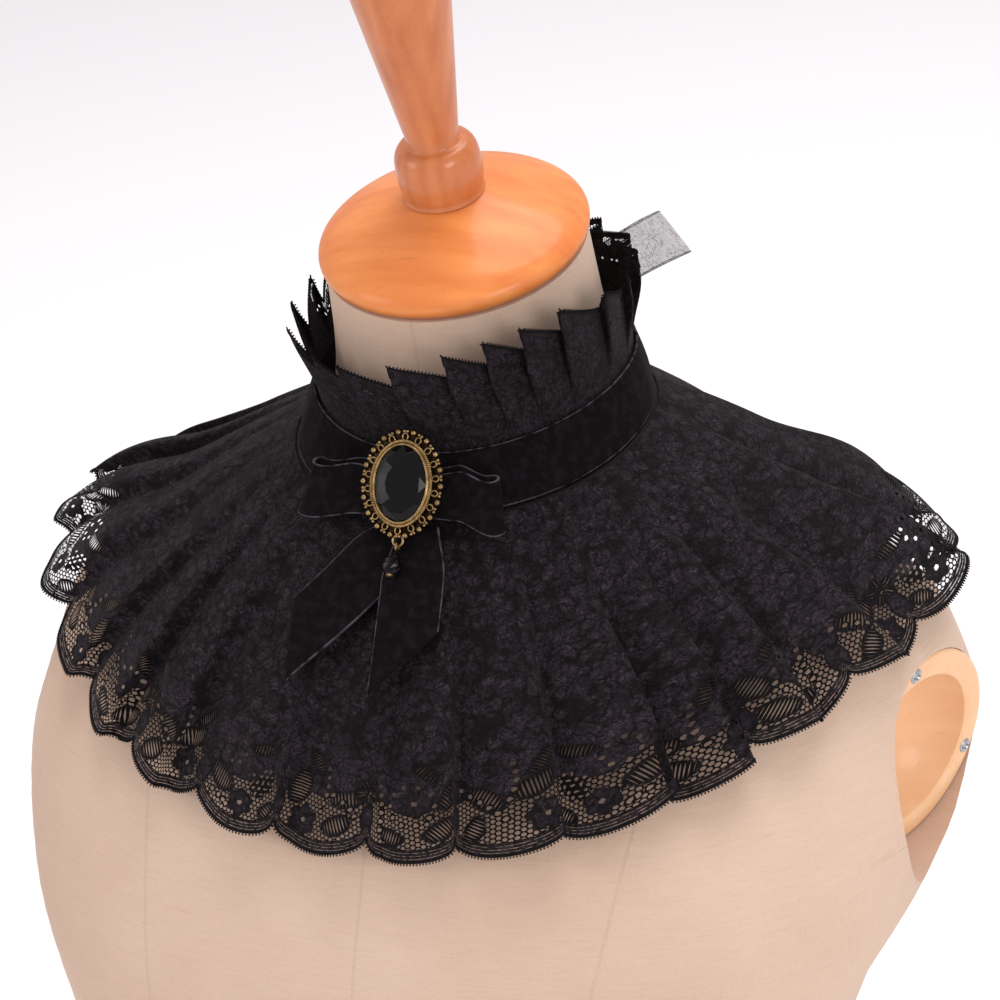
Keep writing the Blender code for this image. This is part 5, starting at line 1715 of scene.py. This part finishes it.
# A domed head with a cross recess
def screwMesh():
    radius = socket["screwHead"]
    bm = bmesh.new()
    bmesh.ops.create_uvsphere(bm, u_segments=28, v_segments=14, radius=radius)
    bmesh.ops.delete(bm, geom=[v for v in bm.verts if v.co.z < -1e-6], context="VERTS")
    for vert in bm.verts:
        cross = min(abs(vert.co.x), abs(vert.co.y))
        flat = max(abs(vert.co.x), abs(vert.co.y))
        vert.co.z *= 0.32
        if cross < radius * 0.16 and flat < radius * 0.62:
            vert.co.z -= radius * 0.22
    bmesh.ops.holes_fill(bm, edges=bm.edges[:])
    mesh = meshFrom(bm, "screwHead")
    mesh.shade_smooth()
    mesh.set_sharp_from_angle(angle=radians(35))
    return mesh


# Screws spaced evenly round the socket's rim
def screwTree(tree, ins):
    ring = addNode(tree, "GeometryNodeMeshCircle",
            {"Vertices": ins["count"], "Radius": ins["radius"]})
    turn = addNode(tree, "CombineXYZ", {2: ins["turn"]})
    turned = addNode(tree, "GeometryNodeTransform", {"Geometry": ring, "Rotation": turn})
    source = addNode(tree, "GeometryNodeObjectInfo", {"Object": ins["screw"]})
    placed = addNode(tree, "GeometryNodeInstanceOnPoints",
            {"Points": turned, "Instance": source.outputs["Geometry"]})
    return finishTree(tree, placed, ins)


def makeScrews():
    head = linkMesh("screwHead", screwMesh())
    made = []
    for name, side in (("zincScrewsLeft", 1.0), ("zincScrewsRight", -1.0)):
        piece = linkMesh(name, bpy.data.meshes.new(name))
        nodeModifier("rimScrews", screwTree, piece, count=socket["screws"],
                     radius=socket["screwCircle"], turn=socket["screwTurn"], screw=head,
                     material=zinc)
        piece.data.transform(socketFrame(side))
        made.append(piece)
    bpy.data.objects.remove(head, do_unlink=True)
    return made


screwPieces = makeScrews()
print("stage: wood and screws")


def declare(piece, body, slotName, *nodes):
    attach(piece, body)
    if nodes:
        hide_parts(*nodes)


declare(torsoPiece, rootBody, "linen", "torso")
for name, slotName, node in (("turnedCap", "varnished_wood", "neck_cap"),
                             ("turnedFinial", "varnished_wood", "finial"),
                             ("socketCupLeft", "pale_wood", "socket_left"),
                             ("socketCupRight", "pale_wood", "socket_right")):
    declare(woodPieces[name], rootBody, slotName, node)
for screws in screwPieces:
    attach(screws, rootBody)
declare(flouncePiece, rootBody, "black_lace", "flounce")
declare(flouncePicots, rootBody, "black_lace")
declare(underPiece, rootBody, "black_underlayer", "underlayer")
declare(frillPiece, rootBody, "black_lace", "frill")
declare(frillPicots, rootBody, "black_lace")
declare(bandPiece, rootBody, "black_velvet", "velvet_band")
for piece, node in zip(loopPieces, ("bow_loop_left", "bow_loop_right")):
    declare(piece, rootBody, "black_velvet", node)
for piece, row in zip(tailPieces, ribbon["tails"]):
    declare(piece, rootBody, "black_velvet", row[6])
declare(knotPiece, rootBody, "black_velvet", "bow_knot")
for i, piece in enumerate(broochPieces):
    declare(piece, rootBody, "antique_brass", *(["brooch_setting"] if i == 0 else []))
declare(stonePiece, rootBody, "black_stone", "brooch_stone")
declare(linkPiece, dropBody, "antique_brass", "drop_link")
declare(beadPiece, dropBody, "black_stone", "drop_bead")
declare(tipPiece, dropBody, "antique_brass")
for piece, row in zip(tieLoops, tie["loops"]):
    declare(piece, rootBody, "grey_organza", row[6])
for piece, row in zip(tieTails, tie["tails"]):
    declare(piece, rootBody, "grey_organza", row[3])
declare(tieKnot, rootBody, "grey_organza", "tie_knot")


studio = {
    "floor": "#faf8f9",
    "world": "#f6f3f6",
    "worldStrength": 0.74,
    "floorHalf": 9,
    "aim": (0.0, 0.0, 0.42),
    "lights": (   # name, place, size, watts, colour
        ("softboxLeft", (-1.8, -1.5, 1.3), 1.3, 12.0, "#fffaf6"),
        ("softboxRight", (2.0, -1.5, 1.1), 1.2, 21.0, "#fffdfb"),
        ("topBank", (0.3, 0.6, 2.6), 1.8, 36.0, "#ffffff")),
}


def makeStudio():
    wide = studio["floorHalf"]
    mesh = bpy.data.meshes.new("paleFloor")
    mesh.from_pydata([(-wide, -wide, 0), (wide, -wide, 0), (wide, wide, 0), (-wide, wide, 0)], [],
                     [(0, 1, 2, 3)])
    material, tree, shader = newMaterial("paleFloor")
    setInputs(tree, shader, {"Base Color": studio["floor"], "Roughness": 0.9})
    linkMesh("paleFloor", mesh, material)
    bpy.context.scene.view_settings.view_transform = "Standard"
    world = bpy.data.worlds.new("studio")
    bpy.context.scene.world = world
    world.use_nodes = True
    setInputs(world.node_tree, world.node_tree.nodes["Background"],
            {"Color": studio["world"], "Strength": studio["worldStrength"]})
    for name, place, size, watts, colour in studio["lights"]:
        data = bpy.data.lights.new(name, "AREA")
        data.shape, data.size, data.energy = "DISK", size, watts
        data.color = linear(colour)[:3]
        lamp = bpy.data.objects.new(name, data)
        bpy.context.scene.collection.objects.link(lamp)
        lamp.matrix_world = facing(Vector(place), Vector(studio["aim"]) - Vector(place), "-Z")


makeStudio()
print("stage: studio")
